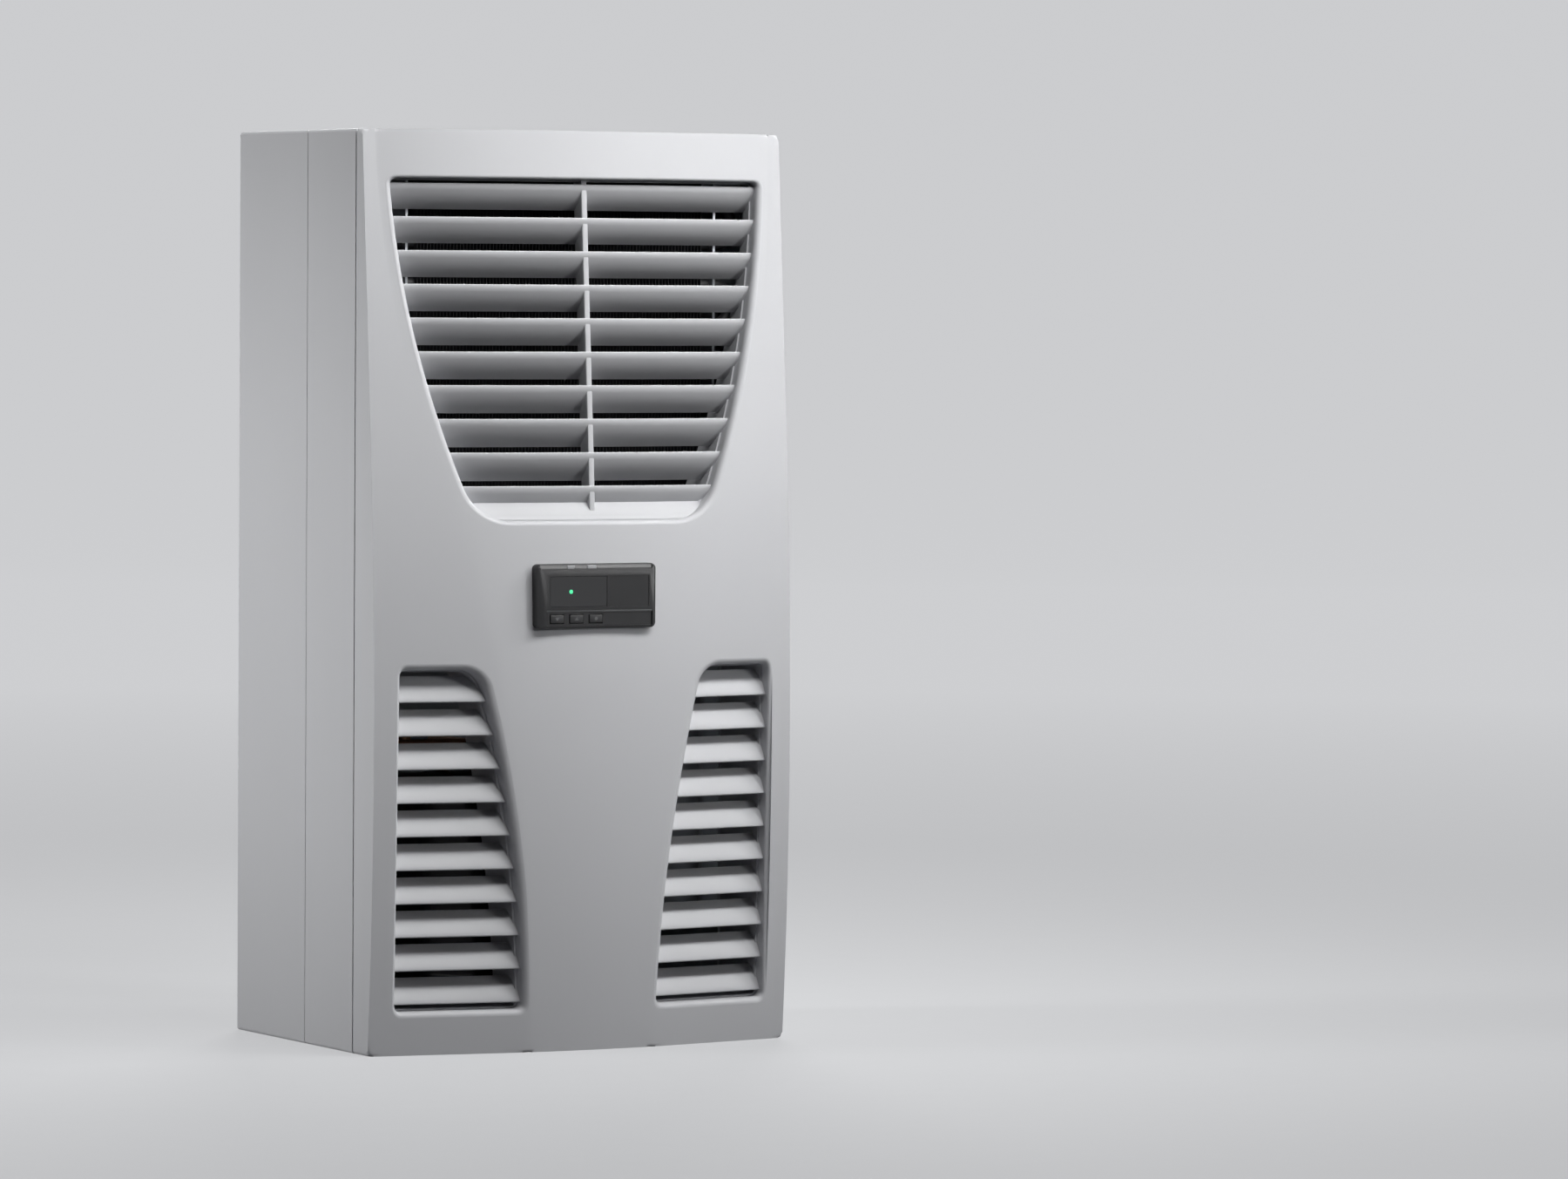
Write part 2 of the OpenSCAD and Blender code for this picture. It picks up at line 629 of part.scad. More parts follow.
module condenser_fan_motor() color(black) {
  rod(0, cond_fan_z, motor_r, hub_front_y + hub_len + overrun, part_y - fit_gap);
  rod(0, cond_fan_z, motor_flange_r, part_y - fit_gap - motor_flange_t, part_y - fit_gap);
  rod(0, cond_fan_z, shaft_r, hub_front_y + hub_wall / 2, part_y - motor_flange_t);
}
blade_count = 5;
blade_chord = 46;
blade_t = 2;
blade_angle = 24;
module condenser_fan_wheel() color(black)
  translate([0, hub_front_y, cond_fan_z]) rotate([-90, 0, 0]) difference() {
    union() {
      cylinder(r = hub_r, h = hub_wall);
      difference() {
        cylinder(r = hub_r, h = hub_len);
        translate([0, 0, -overrun]) cylinder(r = hub_r - hub_wall, h = hub_len + 2 * overrun);
      }
      cylinder(r = boss_r, h = hub_len);
      for (i = [0:blade_count - 1]) rotate([0, 0, 360 * i / blade_count]) intersection() {
        translate([(hub_r + cond_fan_r) / 2, 0, hub_len / 2]) rotate([blade_angle, 0, 0])
          cube([cond_fan_r - hub_r + 2 * hub_wall, blade_chord, blade_t], center = true);
        difference() {
          cylinder(r = cond_fan_r, h = hub_len, $fn = 96);
          translate([0, 0, -overrun]) cylinder(r = hub_r - hub_wall / 2, h = hub_len + 2 * overrun);
        }
      }
    }
    translate([0, 0, -overrun]) cylinder(r = shaft_r + running_gap, h = hub_len + 2 * overrun);
  }

// Enclosure-air fan, inlet ring and guards
motor_len = 25;
wheel_y = part_in_y + motor_len;
wheel_len = 30;
wheel_disc_t = 2;
vane_count = 8;
vane_r = 46;
vane_t = 1.6;
ring_gap = 2;
module evaporator_fan_motor() color(black) {
  rod(0, evap_fan_z, motor_r, part_in_y + fit_gap, wheel_y - overrun);
  rod(0, evap_fan_z, motor_flange_r, part_in_y + fit_gap, part_in_y + fit_gap + motor_flange_t);
  rod(0, evap_fan_z, shaft_r, part_in_y + motor_flange_t, wheel_y + wheel_len - wheel_disc_t);
}
module evaporator_fan_wheel() color(black)
  translate([0, wheel_y, evap_fan_z]) rotate([-90, 0, 0]) difference() {
    union() {
      cylinder(r = evap_fan_r, h = wheel_disc_t, $fn = 96);
      cylinder(r = boss_r, h = wheel_len - wheel_disc_t);
      translate([0, 0, wheel_len - wheel_disc_t]) difference() {
        cylinder(r = evap_fan_r, h = wheel_disc_t, $fn = 96);
        translate([0, 0, -overrun]) cylinder(r = inlet_r, h = wheel_disc_t + 2 * overrun);
      }
      for (i = [0:vane_count - 1]) rotate([0, 0, 360 * i / vane_count])
        linear_extrude(wheel_len - wheel_disc_t / 2) intersection() {
          translate([evap_fan_r / 2, vane_r - vane_t]) difference() {
            circle(r = vane_r);
            circle(r = vane_r - vane_t);
            translate([-2 * vane_r, 0]) square(4 * vane_r);
          }
          difference() {
            circle(r = evap_fan_r - overrun / 2, $fn = 96);
            circle(r = inlet_r - 2 * boss_r);
          }
        }
    }
    translate([0, 0, -overrun]) cylinder(r = shaft_r + running_gap, h = wheel_len + 2 * overrun);
  }
bell_y = wheel_y + wheel_len + ring_gap;
module inlet_ring() color(zinc)
  translate([0, bell_y, evap_fan_z]) rotate([-90, 0, 0]) difference() {
    union() {
      cylinder(r = inlet_r, h = wall_in_y - fit_gap - bell_y);
      translate([0, 0, wall_in_y - fit_gap - sheet_t - bell_y])
        cylinder(r = ring_flange_r, h = sheet_t, $fn = 96);
    }
    translate([0, 0, -overrun]) cylinder(r = inlet_r - sheet_t, h = wall_in_y - bell_y + overrun);
  }
wire_r = 0.9;
guard_y = wall_out_y + wire_r + fit_gap;
guard_lap = 5;
guard_r = inlet_hole_r + guard_lap;
guard_bar_pitch = 17;
guard_strip_w = 10;
guard_strip_t = 1;
outlet_lap = 4;
guard_x = outlet_x + outlet_lap;
guard_z0 = outlet_z0 - outlet_lap;
guard_z1 = outlet_z1 + outlet_lap;
// Upright bars welded to the rear panel, between two flat strips that are screwed on
module bar_guard(half, z0, z1) {
  bars = floor(half / guard_bar_pitch);
  for (i = [-bars:bars]) post(i * guard_bar_pitch, guard_y, wire_r, z0, z1);
  for (z = [z0 - fit_gap / 2 - guard_strip_w, z1 + fit_gap / 2])
    block([-half, half], [wall_out_y, wall_out_y + guard_strip_t], [z, z + guard_strip_w]);
}
module inlet_guard() color(zinc) bar_guard(guard_r, evap_fan_z - guard_r, evap_fan_z + guard_r);
module outlet_guard() color(zinc) bar_guard(guard_x, guard_z0, guard_z1);
screw_r = 1.6;
screw_head_r = 3.2;
screw_head_t = 1.2;
module strip_screws(half, z0, z1)
  corners(2 * half - guard_strip_w, z0 - guard_strip_w / 2, z1 + guard_strip_w / 2)
    rod(0, 0, screw_head_r, wall_out_y + guard_strip_t, wall_out_y + guard_strip_t + screw_head_t);
module guard_screws() color(zinc) {
  strip_screws(guard_r, evap_fan_z - guard_r, evap_fan_z + guard_r);
  strip_screws(guard_x, guard_z0, guard_z1);
}

// Condensate: tray, hose and nozzle
tray_lap = 12;
tray_half = coil_half + tray_lap;
tray_front_y = evap_y - coil_d / 2 - tray_lap;
tray_z = deck_z + sheet_t;
tray_h = 20;
tray_t = 2;
spout_len = 16;
nozzle_flange_r = 13;
nozzle_flange_t = 3;
nozzle_len = 24;
hose_t = 2.3;
hose_lap = 12;
module condensate_tray() color(black) difference() {
  union() {
    block([-tray_half, tray_half], [tray_front_y, wall_in_y - fit_gap], [tray_z, tray_z + tray_h]);
    post(drain_x, drain_y, tray_spout_r, tray_z - spout_len, tray_z + tray_t);
  }
  block([tray_t - tray_half, tray_half - tray_t], [tray_front_y + tray_t, wall_in_y - fit_gap - tray_t],
    [tray_z + tray_t, tray_z + tray_h + overrun]);
  post(drain_x, drain_y, drain_bore_r, tray_z - spout_len - overrun, tray_z + tray_h);
}
module drain_hose() color(rubber) difference() {
  post(drain_x, drain_y, tray_spout_r + fit_gap + hose_t, nozzle_len - hose_lap, tray_z - sheet_t - overrun);
  post(drain_x, drain_y, tray_spout_r + fit_gap, 0, tray_z + overrun);
}
module drain_nozzle() color(black) difference() {
  union() {
    post(drain_x, drain_y, drain_neck_r, 0, nozzle_len);
    post(drain_x, drain_y, nozzle_flange_r, sheet_t + fit_gap, sheet_t + fit_gap + nozzle_flange_t);
  }
  post(drain_x, drain_y, drain_bore_r, -overrun, nozzle_len + overrun);
}

// Refrigerant pipes
drier_r = 9;
drier_head_gap = 50;
drier_len = 80;
drier_z1 = deck_z - drier_head_gap;
drier_z0 = drier_z1 - drier_len;
drier_cone = 10;
liquid_r = 3;
module filter_drier() color(copper) translate([drier_x, drier_y, 0]) rotate_extrude()
  polygon([[0, drier_z0], [liquid_r, drier_z0], [drier_r, drier_z0 + drier_cone],
    [drier_r, drier_z1 - drier_cone], [liquid_r, drier_z1], [0, drier_z1]]);
wind_turns = 5;
wind_pitch = 6;
wind_steps = 16;
wind_base_gap = 4;
wind_z0 = drier_z0 + drier_cone + wind_base_gap;
wind_sides = 6;
evap_in_z = evap_bottom_z + tube_pitch / 2;
evap_in_x = -tube_half - fit_gap;
evap_front_y = evap_y - row_pitch / 2;
evap_rear_y = evap_y + row_pitch / 2;
module capillary_tube() color(copper) {
  wind_end_z = wind_z0 + wind_turns * wind_pitch;
  path = [for (i = [0:wind_turns * wind_steps]) let (a = -180 + 360 * i / wind_steps)
    [drier_x + coil_wind_r * cos(a), drier_y + coil_wind_r * sin(a), wind_z0 + wind_pitch * i / wind_steps]];
  ring = [for (i = [0:len(path) - 1]) for (s = [0:wind_sides - 1])
    let (a = -180 + 360 * i / wind_steps, b = 360 * s / wind_sides)
      path[i] + capillary_r * [cos(b) * cos(a), cos(b) * sin(a), sin(b)]];
  n = len(path);
  sides = [for (i = [0:n - 2]) for (s = [0:wind_sides - 1]) let (t = (s + 1) % wind_sides, a = i * wind_sides,
    b = a + wind_sides) for (f = [[a + s, b + t, b + s], [a + s, a + t, b + t]]) f];
  polyhedron(ring, concat(sides, [[for (s = [wind_sides - 1:-1:0]) s]],
    [[for (s = [0:wind_sides - 1]) (n - 1) * wind_sides + s]]), convexity = 8);
  pipe([[riser_x, drier_y, wind_end_z], [riser_x, drier_y, evap_in_z],
    [riser_x, evap_front_y, evap_in_z], [evap_in_x, evap_front_y, evap_in_z]], capillary_r);
  pipe([[riser_x, drier_y, wind_z0], [riser_x, drier_y, drier_z0 - drier_cone],
    [drier_x, drier_y, drier_z0 - drier_cone], [drier_x, drier_y, drier_z0 - fit_gap]], capillary_r);
}
cond_in_z = cond_bottom_z + tube_pitch / 2;
discharge_r = 3.5;
discharge_side_gap = 12.5;
liquid_side_gap = 20.5;
discharge_x = discharge_side_gap - inner_half;
liquid_x = liquid_side_gap - inner_half;
stub_dy = 20;
stub_x = comp_x - stub_dy;
discharge_drop = 8;
liquid_drop = 18;
suction_drop = 9;
discharge_z = deck_z - discharge_drop;
liquid_z = deck_z - liquid_drop;
suction_z = deck_z - suction_drop;
cond_front_y = cond_y - row_pitch / 2;
cond_rear_y = cond_y + row_pitch / 2;
module discharge_pipe() color(copper)
  pipe([[-tube_half - fit_gap, cond_front_y, cond_in_z], [discharge_x, cond_front_y, cond_in_z],
    [discharge_x, cond_front_y, discharge_z], [stub_x, cond_front_y, discharge_z],
    [stub_x, comp_y - stub_dy, discharge_z], [stub_x, comp_y - stub_dy, comp_top_z + fit_gap]], discharge_r);
module liquid_pipe() color(copper)
  pipe([[-tube_half - fit_gap, cond_rear_y, cond_in_z], [liquid_x, cond_rear_y, cond_in_z],
    [liquid_x, cond_rear_y, liquid_z], [drier_x, cond_rear_y, liquid_z],
    [drier_x, drier_y, liquid_z], [drier_x, drier_y, drier_z1 + fit_gap]], liquid_r);
module suction_pipe() color(copper)
  pipe([[evap_in_x, evap_rear_y, evap_in_z], [suction_x, evap_rear_y, evap_in_z],
    [suction_x, suction_y, evap_in_z], [suction_x, suction_y, suction_z], [stub_x, suction_y, suction_z],
    [stub_x, comp_y + stub_dy, suction_z], [stub_x, comp_y + stub_dy, comp_top_z + fit_gap]], suction_r);

// Electrical box, its board and leads
box_front_gap = 2;
box_rear_gap = 4;
box_h = 120;
box_y0 = part_y + box_front_gap;
box_y1 = wall_in_y - box_rear_gap;
box_z1 = deck_z - fit_gap;
box_z0 = box_z1 - box_h;
box_t = 1.2;
module control_box() color(zinc) difference() {
  block([box_x0, inner_half - fit_gap], [box_y0, box_y1], [box_z0, box_z1]);
  block([box_x0 + box_t, inner_half - fit_gap - box_t], [box_y0 - overrun, box_y1 - box_t],
    [box_z0 + box_t, box_z1 - box_t]);
  post(evap_lead_x, evap_lead_y, lead_r + fit_gap, box_z1 - box_t - overrun, box_z1 + overrun);
  block([socket_x - socket_w / 2, socket_x + socket_w / 2], [box_y1 - box_t - overrun, box_y1 + overrun],
    [socket_z - socket_h / 2, socket_z + socket_h / 2]);
}
lid_lead_drop = 40;
lid_lead_x = socket_x;
lid_lead_z = deck_z - lid_lead_drop;
module control_box_lid() color(zinc) difference() {
  block([box_x0, inner_half - fit_gap], [box_y0 - fit_gap - box_t, box_y0 - fit_gap], [box_z0, box_z1]);
  rod(lid_lead_x, lid_lead_z, lead_r + fit_gap, box_y0 - 2 * box_t - overrun, box_y0 + overrun);
}
board_t = 1.6;
board_stand = 5;
board_x = inner_half - fit_gap - box_t - board_stand;
board_margin = 6;
module control_board() color("darkgreen") {
  block([board_x - board_t, board_x], [box_y0 + board_margin, box_y1 - board_margin - box_t],
    [box_z0 + board_margin, box_z1 - board_margin * 2]);
  for (y = [box_y0 + 2 * board_margin, box_y1 - 3 * board_margin])
    for (z = [box_z0 + 2 * board_margin, box_z1 - 4 * board_margin])
      bar_x(y, z, screw_r, board_x - board_t / 2, inner_half - fit_gap - box_t - fit_gap);
}
relay_size = [14, 20, 14];
module board_relays() color([0.12, 0.2, 0.45]) for (i = [0:2])
  translate([board_x - board_t - relay_size[0] - fit_gap, box_y0 + 2 * board_margin,
    box_z0 + 2 * board_margin + i * (relay_size[2] + board_margin)]) cube(relay_size);
cap_share = 0.2;
cap_r = cap_share * (inner_half - box_x0);
cap_gap = 1;
cap_h = 62;
module run_capacitor() color(alu) {
  cap_x = box_x0 + box_t + cap_r + cap_gap;
  cap_y = (box_y0 + box_y1) / 2;
  post(cap_x, cap_y, cap_r, box_z0 + box_t + fit_gap, box_z0 + box_t + fit_gap + cap_h);
}
socket_pins = 5;
socket_pin_r = 1.6;
socket_pin_pitch = 7.6;
socket_flange_w = 2;
socket_front_y = rear_y - 2 * fit_gap;
module supply_socket() color(black) difference() {
  union() {
    block([socket_x - socket_w / 2 + fit_gap, socket_x + socket_w / 2 - fit_gap],
      [box_y1 - box_t - 2 * fit_gap, socket_front_y],
      [socket_z - socket_h / 2 + fit_gap, socket_z + socket_h / 2 - fit_gap]);
    block([socket_x - socket_w / 2 - socket_flange_w, socket_x + socket_w / 2 + socket_flange_w],
      [wall_out_y, wall_out_y + overrun],
      [socket_z - socket_h / 2 - socket_flange_w, socket_z + socket_h / 2 + socket_flange_w]);
  }
  for (i = [0:socket_pins - 1])
    rod(socket_x + (i - (socket_pins - 1) / 2) * socket_pin_pitch, socket_z, socket_pin_r,
      wall_in_y, rear_y);
}
comp_lead_z = relay_z + relay_h / 2;
comp_lead_x = (relay_x1 + box_x0) / 2;
comp_lead_y = box_y0 + lead_wall_gap;
comp_lead_drop = 14;
comp_lead_high_z = comp_lead_z + comp_lead_drop;
module compressor_lead() color(black)
  pipe([[box_x0 - fit_gap, comp_lead_y, comp_lead_high_z], [comp_lead_x, comp_lead_y, comp_lead_high_z],
    [comp_lead_x, comp_y, comp_lead_z], [relay_x1 + fit_gap, comp_y, comp_lead_z]], lead_r);
cond_lead_y = part_y - lead_wall_gap;
module condenser_fan_lead() color(black)
  pipe([[lid_lead_x, box_y0, lid_lead_z], [lid_lead_x, cond_lead_y, lid_lead_z],
    [lid_lead_x, cond_lead_y, cond_fan_z], [motor_r + fit_gap, cond_lead_y, cond_fan_z]], lead_r);
module evaporator_fan_lead() color(black)
  pipe([[evap_lead_x, evap_lead_y, box_z1 - box_t], [evap_lead_x, evap_lead_y, evap_fan_z],
    [motor_r + fit_gap, evap_lead_y, evap_fan_z]], lead_r);
sensor_side_gap = 43.5;
sensor_x = sensor_side_gap - inner_half;
sensor_len = 24;
module air_sensor() color(black) {
  rod(sensor_x, evap_fan_z, lead_r, part_in_y + fit_gap, part_in_y + fit_gap + sensor_len);
  rod(sensor_x, evap_fan_z, 2 * lead_r, part_in_y + fit_gap, part_in_y + fit_gap + motor_flange_t);
}

// Front cover: a moulded skin with a duct behind each opening, plugged on four studs
boss_wall = 2.5;
ctrl_back = 14;
ctrl_side_lap = 5;
ctrl_end_lap = 2;
ctrl_in_w = ctrl_w - 2 * ctrl_side_lap;
ctrl_in_h = ctrl_h - 2 * ctrl_end_lap;
module front_ducts(inset) {
  upper_outline(inset);
  lower_outline(inset);
  mirror([1, 0]) lower_outline(inset);
}
module front_cover() color(paint) difference() {
  cover_block(0, -move_gap);
  difference() {
    cover_block(cover_wall, overrun);
    along_depth(joint_y - cover_d - overrun, joint_y + 2 * overrun) front_ducts(-cover_wall);
    corners(2 * stud_x, stud_low_z, stud_high_z)
      rod(0, 0, stud_r + move_gap + boss_wall, joint_y - cover_d, joint_y + 2 * overrun);
  }
  along_depth(joint_y - cover_d - overrun, joint_y + overrun) front_ducts(0);
  corners(2 * stud_x, stud_low_z, stud_high_z)
    rod(0, 0, stud_r + move_gap, joint_y - stud_len - move_gap, joint_y + overrun);
  along_depth(joint_y - cover_d - overrun, joint_y)
    translate([ctrl_x - ctrl_in_w / 2, ctrl_z - ctrl_in_h / 2]) square([ctrl_in_w, ctrl_in_h]);
  difference() {
    block([-half_w - overrun, half_w + overrun], [joint_y - shadow_gap, joint_y + overrun],
      [-overrun, body_h + overrun]);
    block([cover_wall - half_w, half_w - cover_wall], [joint_y - shadow_gap - overrun, joint_y + 2 * overrun],
      [cover_wall, body_h - cover_wall]);
  }
}

// Louvre grilles behind the openings
rim_t = 1.2;
rim_recess = lip_recess + overrun;
first_lip_gap = 19.5;
upper_first_z = upper_bottom_z + first_lip_gap;
upper_blades = floor((body_h - upper_top_gap - upper_first_z - lip_h / 2) / blade_pitch);
lip_r = plan_r - lip_recess;
sweep = 2 * asin(crease_top / lip_r) + 2;
module ring_sector(z) {
  translate([0, joint_y - middle_reach(0, z) + plan_r, z]) rotate([0, 0, -90 - sweep / 2])
    rotate_extrude(angle = sweep, $fn = 240) children();
}
module side_profile(recess, depth) {
  rows = [for (k = [0:skin_rows]) body_h * k / skin_rows];
  translate([-mullion_w / 2, joint_y, 0]) rotate([90, 0, 90]) linear_extrude(mullion_w)
    polygon(concat([for (z = rows) [recess - middle_reach(0, z), z]],
      [for (k = [skin_rows:-1:0]) [recess + depth - middle_reach(0, rows[k]), rows[k]]]));
}
sill_h = 11;
mullion_d = 10;
module upper_grille() color([0.55, 0.56, 0.57]) {
  intersection() {
    along_depth(joint_y - cover_d, grille_back_y) difference() {
      upper_outline(move_gap);
      upper_outline(move_gap + rim_t);
    }
    cover_block(rim_recess, 0);
  }
  intersection() {
    along_depth(joint_y - cover_d, grille_back_y) upper_outline(move_gap + rim_t / 2);
    union() {
      for (k = [0:upper_blades]) ring_sector(upper_first_z + k * blade_pitch)
        polygon([[lip_r, lip_h / 2], [lip_r, -lip_h / 2], [lip_r - blade_run, -lip_h / 2 - blade_fall],
          [lip_r - blade_run, lip_h / 2 - blade_fall]]);
      ring_sector(upper_bottom_z)
        polygon([[lip_r + lip_recess - cover_wall, 0], [lip_r + lip_recess - cover_wall, lip_h],
          [lip_r - blade_run / 2, sill_h], [lip_r - blade_run / 2, 0]]);
      side_profile(lip_recess + fit_gap, mullion_d);
    }
  }
}
sill_gap = 4;
lower_first_z = lower_bottom_z + sill_gap;
lower_blades = floor((lower_top_z - lower_first_z - blade_rise / 2) / blade_pitch);
module lower_blade(z) {
  x0 = crease_x(z);
  y0 = joint_y - wing_reach(x0, z) + lip_recess;
  y1 = joint_y - wing_reach(half_w, z) + lip_recess;
  run = half_w - x0;
  translate([x0, y0, z]) rotate([90, 0, 90 + atan2(y1 - y0, run)])
    linear_extrude(run / cos(atan2(y1 - y0, run)))
      polygon([[0, 0], [blade_run, blade_rise], [blade_run, blade_rise + lip_h], [0, lip_h]]);
}
module right_grille() color([0.55, 0.56, 0.57]) {
  intersection() {
    along_depth(joint_y - cover_d, grille_back_y) difference() {
      lower_outline(move_gap);
      lower_outline(move_gap + rim_t);
    }
    cover_block(rim_recess, 0);
  }
  intersection() {
    along_depth(joint_y - cover_d, grille_back_y) lower_outline(move_gap + rim_t / 2);
    for (k = [0:lower_blades]) lower_blade(lower_first_z + k * blade_pitch);
  }
}
module left_grille() mirror([1, 0, 0]) right_grille();

// Controller in the raised middle
ctrl_edge_r = 3;
window_side = 9.2;
window_base = 12.8;
window_x = ctrl_x - ctrl_w / 2 + window_side;
window_z = ctrl_z - ctrl_h / 2 + window_base;
window_t = 2;
strip_h = 8;
strip_depth = 1;
strip_base = 1.6;
strip_z = ctrl_z - ctrl_h / 2 + strip_base;
key_w = 9;
key_h = 5;
key_pitch = 13;
key_side = 14;
key_x = ctrl_x - ctrl_w / 2 + key_side;
key_z = strip_z + strip_h / 2;
board_gap = 10;
board_y = front_y + board_gap;
ctrl_wall = 2;
pad_y = joint_y - middle_reach(0, ctrl_z);
pad_d = 7;
pad_lean = atan((ctrl_z - bow_z) / bow_r);
// The cover's surface under the controller, as one leaning cylinder
module pad_shape() translate([0, pad_y, ctrl_z]) rotate([-pad_lean, 0, 0])
  translate([0, plan_r, -ctrl_h]) cylinder(r = plan_r + fit_gap / 2, h = 2 * ctrl_h, $fn = 240);
module key_slot(x, grow) {
  translate([x - key_w / 2 - grow, key_z - key_h / 2 - grow]) square([key_w + 2 * grow, key_h + 2 * grow]);
}
module controller_housing() color(black) difference() {
  union() {
    difference() {
      along_depth(front_y, front_y + pad_d) rounded_rect(ctrl_x, ctrl_z, ctrl_w, ctrl_h, ctrl_edge_r);
      pad_shape();
    }
    along_depth(front_y + overrun, front_y + ctrl_back)
      translate([ctrl_x - ctrl_in_w / 2 + move_gap, ctrl_z - ctrl_in_h / 2 + move_gap])
        square([ctrl_in_w - 2 * move_gap, ctrl_in_h - 2 * move_gap]);
  }
  along_depth(front_y + window_t + ctrl_wall, front_y + ctrl_back + overrun)
    translate([ctrl_x - ctrl_in_w / 2 + ctrl_wall, ctrl_z - ctrl_in_h / 2 + ctrl_wall])
      square([ctrl_in_w - 2 * ctrl_wall, ctrl_in_h - 2 * ctrl_wall]);
  along_depth(front_y - overrun, front_y + window_t) translate([window_x, window_z])
    square([window_w, window_h]);
  along_depth(front_y - overrun, front_y + strip_depth) translate([window_x, strip_z])
    square([ctrl_w - 2 * (window_x - ctrl_x + ctrl_w / 2), strip_h]);
  for (i = [0:2]) along_depth(front_y - overrun, front_y + ctrl_back)
    key_slot(key_x + i * key_pitch, move_gap);
}
lamp_side = 14;
lamp_x = window_x + lamp_side;
lamp_z = window_z + window_h / 2;
lamp_r = 1.2;
module display_window() color([0.02, 0.02, 0.02]) difference() {
  along_depth(front_y + fit_gap, front_y + window_t)
    translate([window_x + fit_gap, window_z + fit_gap])
      square([window_w - 2 * fit_gap, window_h - 2 * fit_gap]);
  rod(lamp_x, lamp_z, lamp_r + fit_gap / 2, front_y - overrun, front_y + window_t + overrun);
}
module status_lamp() color([0.2, 0.9, 0.45])
  rod(lamp_x, lamp_z, lamp_r, front_y + fit_gap, front_y + window_t);
module display_board() color("darkgreen")
  along_depth(board_y, board_y + board_t)
    translate([ctrl_x - ctrl_in_w / 2 + ctrl_wall + fit_gap, ctrl_z - ctrl_in_h / 2 + ctrl_wall + fit_gap])
      square([ctrl_in_w - 2 * (ctrl_wall + fit_gap), ctrl_in_h - 2 * (ctrl_wall + fit_gap)]);
key_front_y = front_y + fit_gap;
key_back_y = board_y - key_travel - move_gap;
module key(i) color([0.14, 0.14, 0.15])
  along_depth(key_front_y, key_back_y) key_slot(key_x + i * key_pitch, 0);
module key_down() key(0);
module key_up() key(1);
module key_set() key(2);

rear_chassis();
rear_panel();
joint_frame();
rear_gasket();
mounting_inserts();
hood();
cover_studs();
partition_wall();
bay_deck();
base_plate();
compressor_shell();
compressor_grommets();
compressor_bolts();
relay_cover();
condenser_fins();
condenser_tubes();
condenser_end_plates();
fan_shroud();
condenser_fan_motor();
condenser_fan_wheel();
evaporator_fins();
evaporator_tubes();
evaporator_end_plates();
evaporator_fan_motor();
evaporator_fan_wheel();
inlet_ring();
inlet_guard();
outlet_guard();
condensate_tray();
drain_hose();
drain_nozzle();
filter_drier();
capillary_tube();
discharge_pipe();
liquid_pipe();
suction_pipe();
control_box();
control_box_lid();
control_board();
board_relays();
run_capacitor();
supply_socket();
compressor_lead();
condenser_fan_lead();
evaporator_fan_lead();
air_sensor();
guard_screws();
front_cover();
upper_grille();
left_grille();
right_grille();
controller_housing();
display_window();
status_lamp();
display_board();
key_down();
key_up();
key_set();
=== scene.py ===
# %% [markdown]
# # Upright cooling unit for an electrical enclosure
#
# The frame holds every mechanical piece in its place. This lesson adds what the eye reads: the
# skin of the bowed front cover with its soft edges, the louvres, the little controller and a
# finish for each surface. Lengths on the unit are written in millimetres and turned into metres by
# `mm`. The floor, the lamps and the patterns of the finishes are in metres.

# %% Load the frame
import json
from math import atan2, cos, pi, radians, sin, sqrt

import bmesh
import bpy
from mathutils import Matrix, Vector


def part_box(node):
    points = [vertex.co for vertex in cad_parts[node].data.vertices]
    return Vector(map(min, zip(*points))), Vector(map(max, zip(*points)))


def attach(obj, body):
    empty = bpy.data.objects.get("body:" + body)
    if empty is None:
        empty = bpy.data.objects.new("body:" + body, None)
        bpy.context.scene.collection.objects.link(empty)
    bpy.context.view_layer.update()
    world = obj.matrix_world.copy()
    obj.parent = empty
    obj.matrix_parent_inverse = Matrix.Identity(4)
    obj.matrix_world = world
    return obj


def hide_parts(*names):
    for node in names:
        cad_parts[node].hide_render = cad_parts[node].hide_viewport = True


mm = 0.001
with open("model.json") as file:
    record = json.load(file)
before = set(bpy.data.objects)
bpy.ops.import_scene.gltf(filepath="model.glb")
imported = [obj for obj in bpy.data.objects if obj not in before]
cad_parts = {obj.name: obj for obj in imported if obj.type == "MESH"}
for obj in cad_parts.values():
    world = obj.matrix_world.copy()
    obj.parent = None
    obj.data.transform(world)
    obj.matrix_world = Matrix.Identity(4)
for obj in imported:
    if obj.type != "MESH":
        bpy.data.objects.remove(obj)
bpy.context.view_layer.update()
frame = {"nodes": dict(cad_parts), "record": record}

# %% [markdown]
# ## Main planes
#
# The casing is 280 mm wide and 550 mm high. The front cover starts at the joint plane, where a
# thin shadow line parts it from the steel hood. Everything on the cover is placed from there.

# %% Sizes of the casing
half_w = 140.0
body_h = 550.0
rear_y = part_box("rear_gasket")[1][1] / mm
joint_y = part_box("hood")[0][1] / mm
front_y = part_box("controller_housing")[0][1] / mm
print("rear", round(rear_y, 2), "joint", round(joint_y, 2), "front", round(front_y, 2))

# %% [markdown]
# ## Camera
#
# The photograph was taken from the left at about the height of the unit's middle, with a long
# lens. The camera stands nearly five metres away and is turned a fraction of a degree about its
# own axis, as a hand-levelled tripod head is.

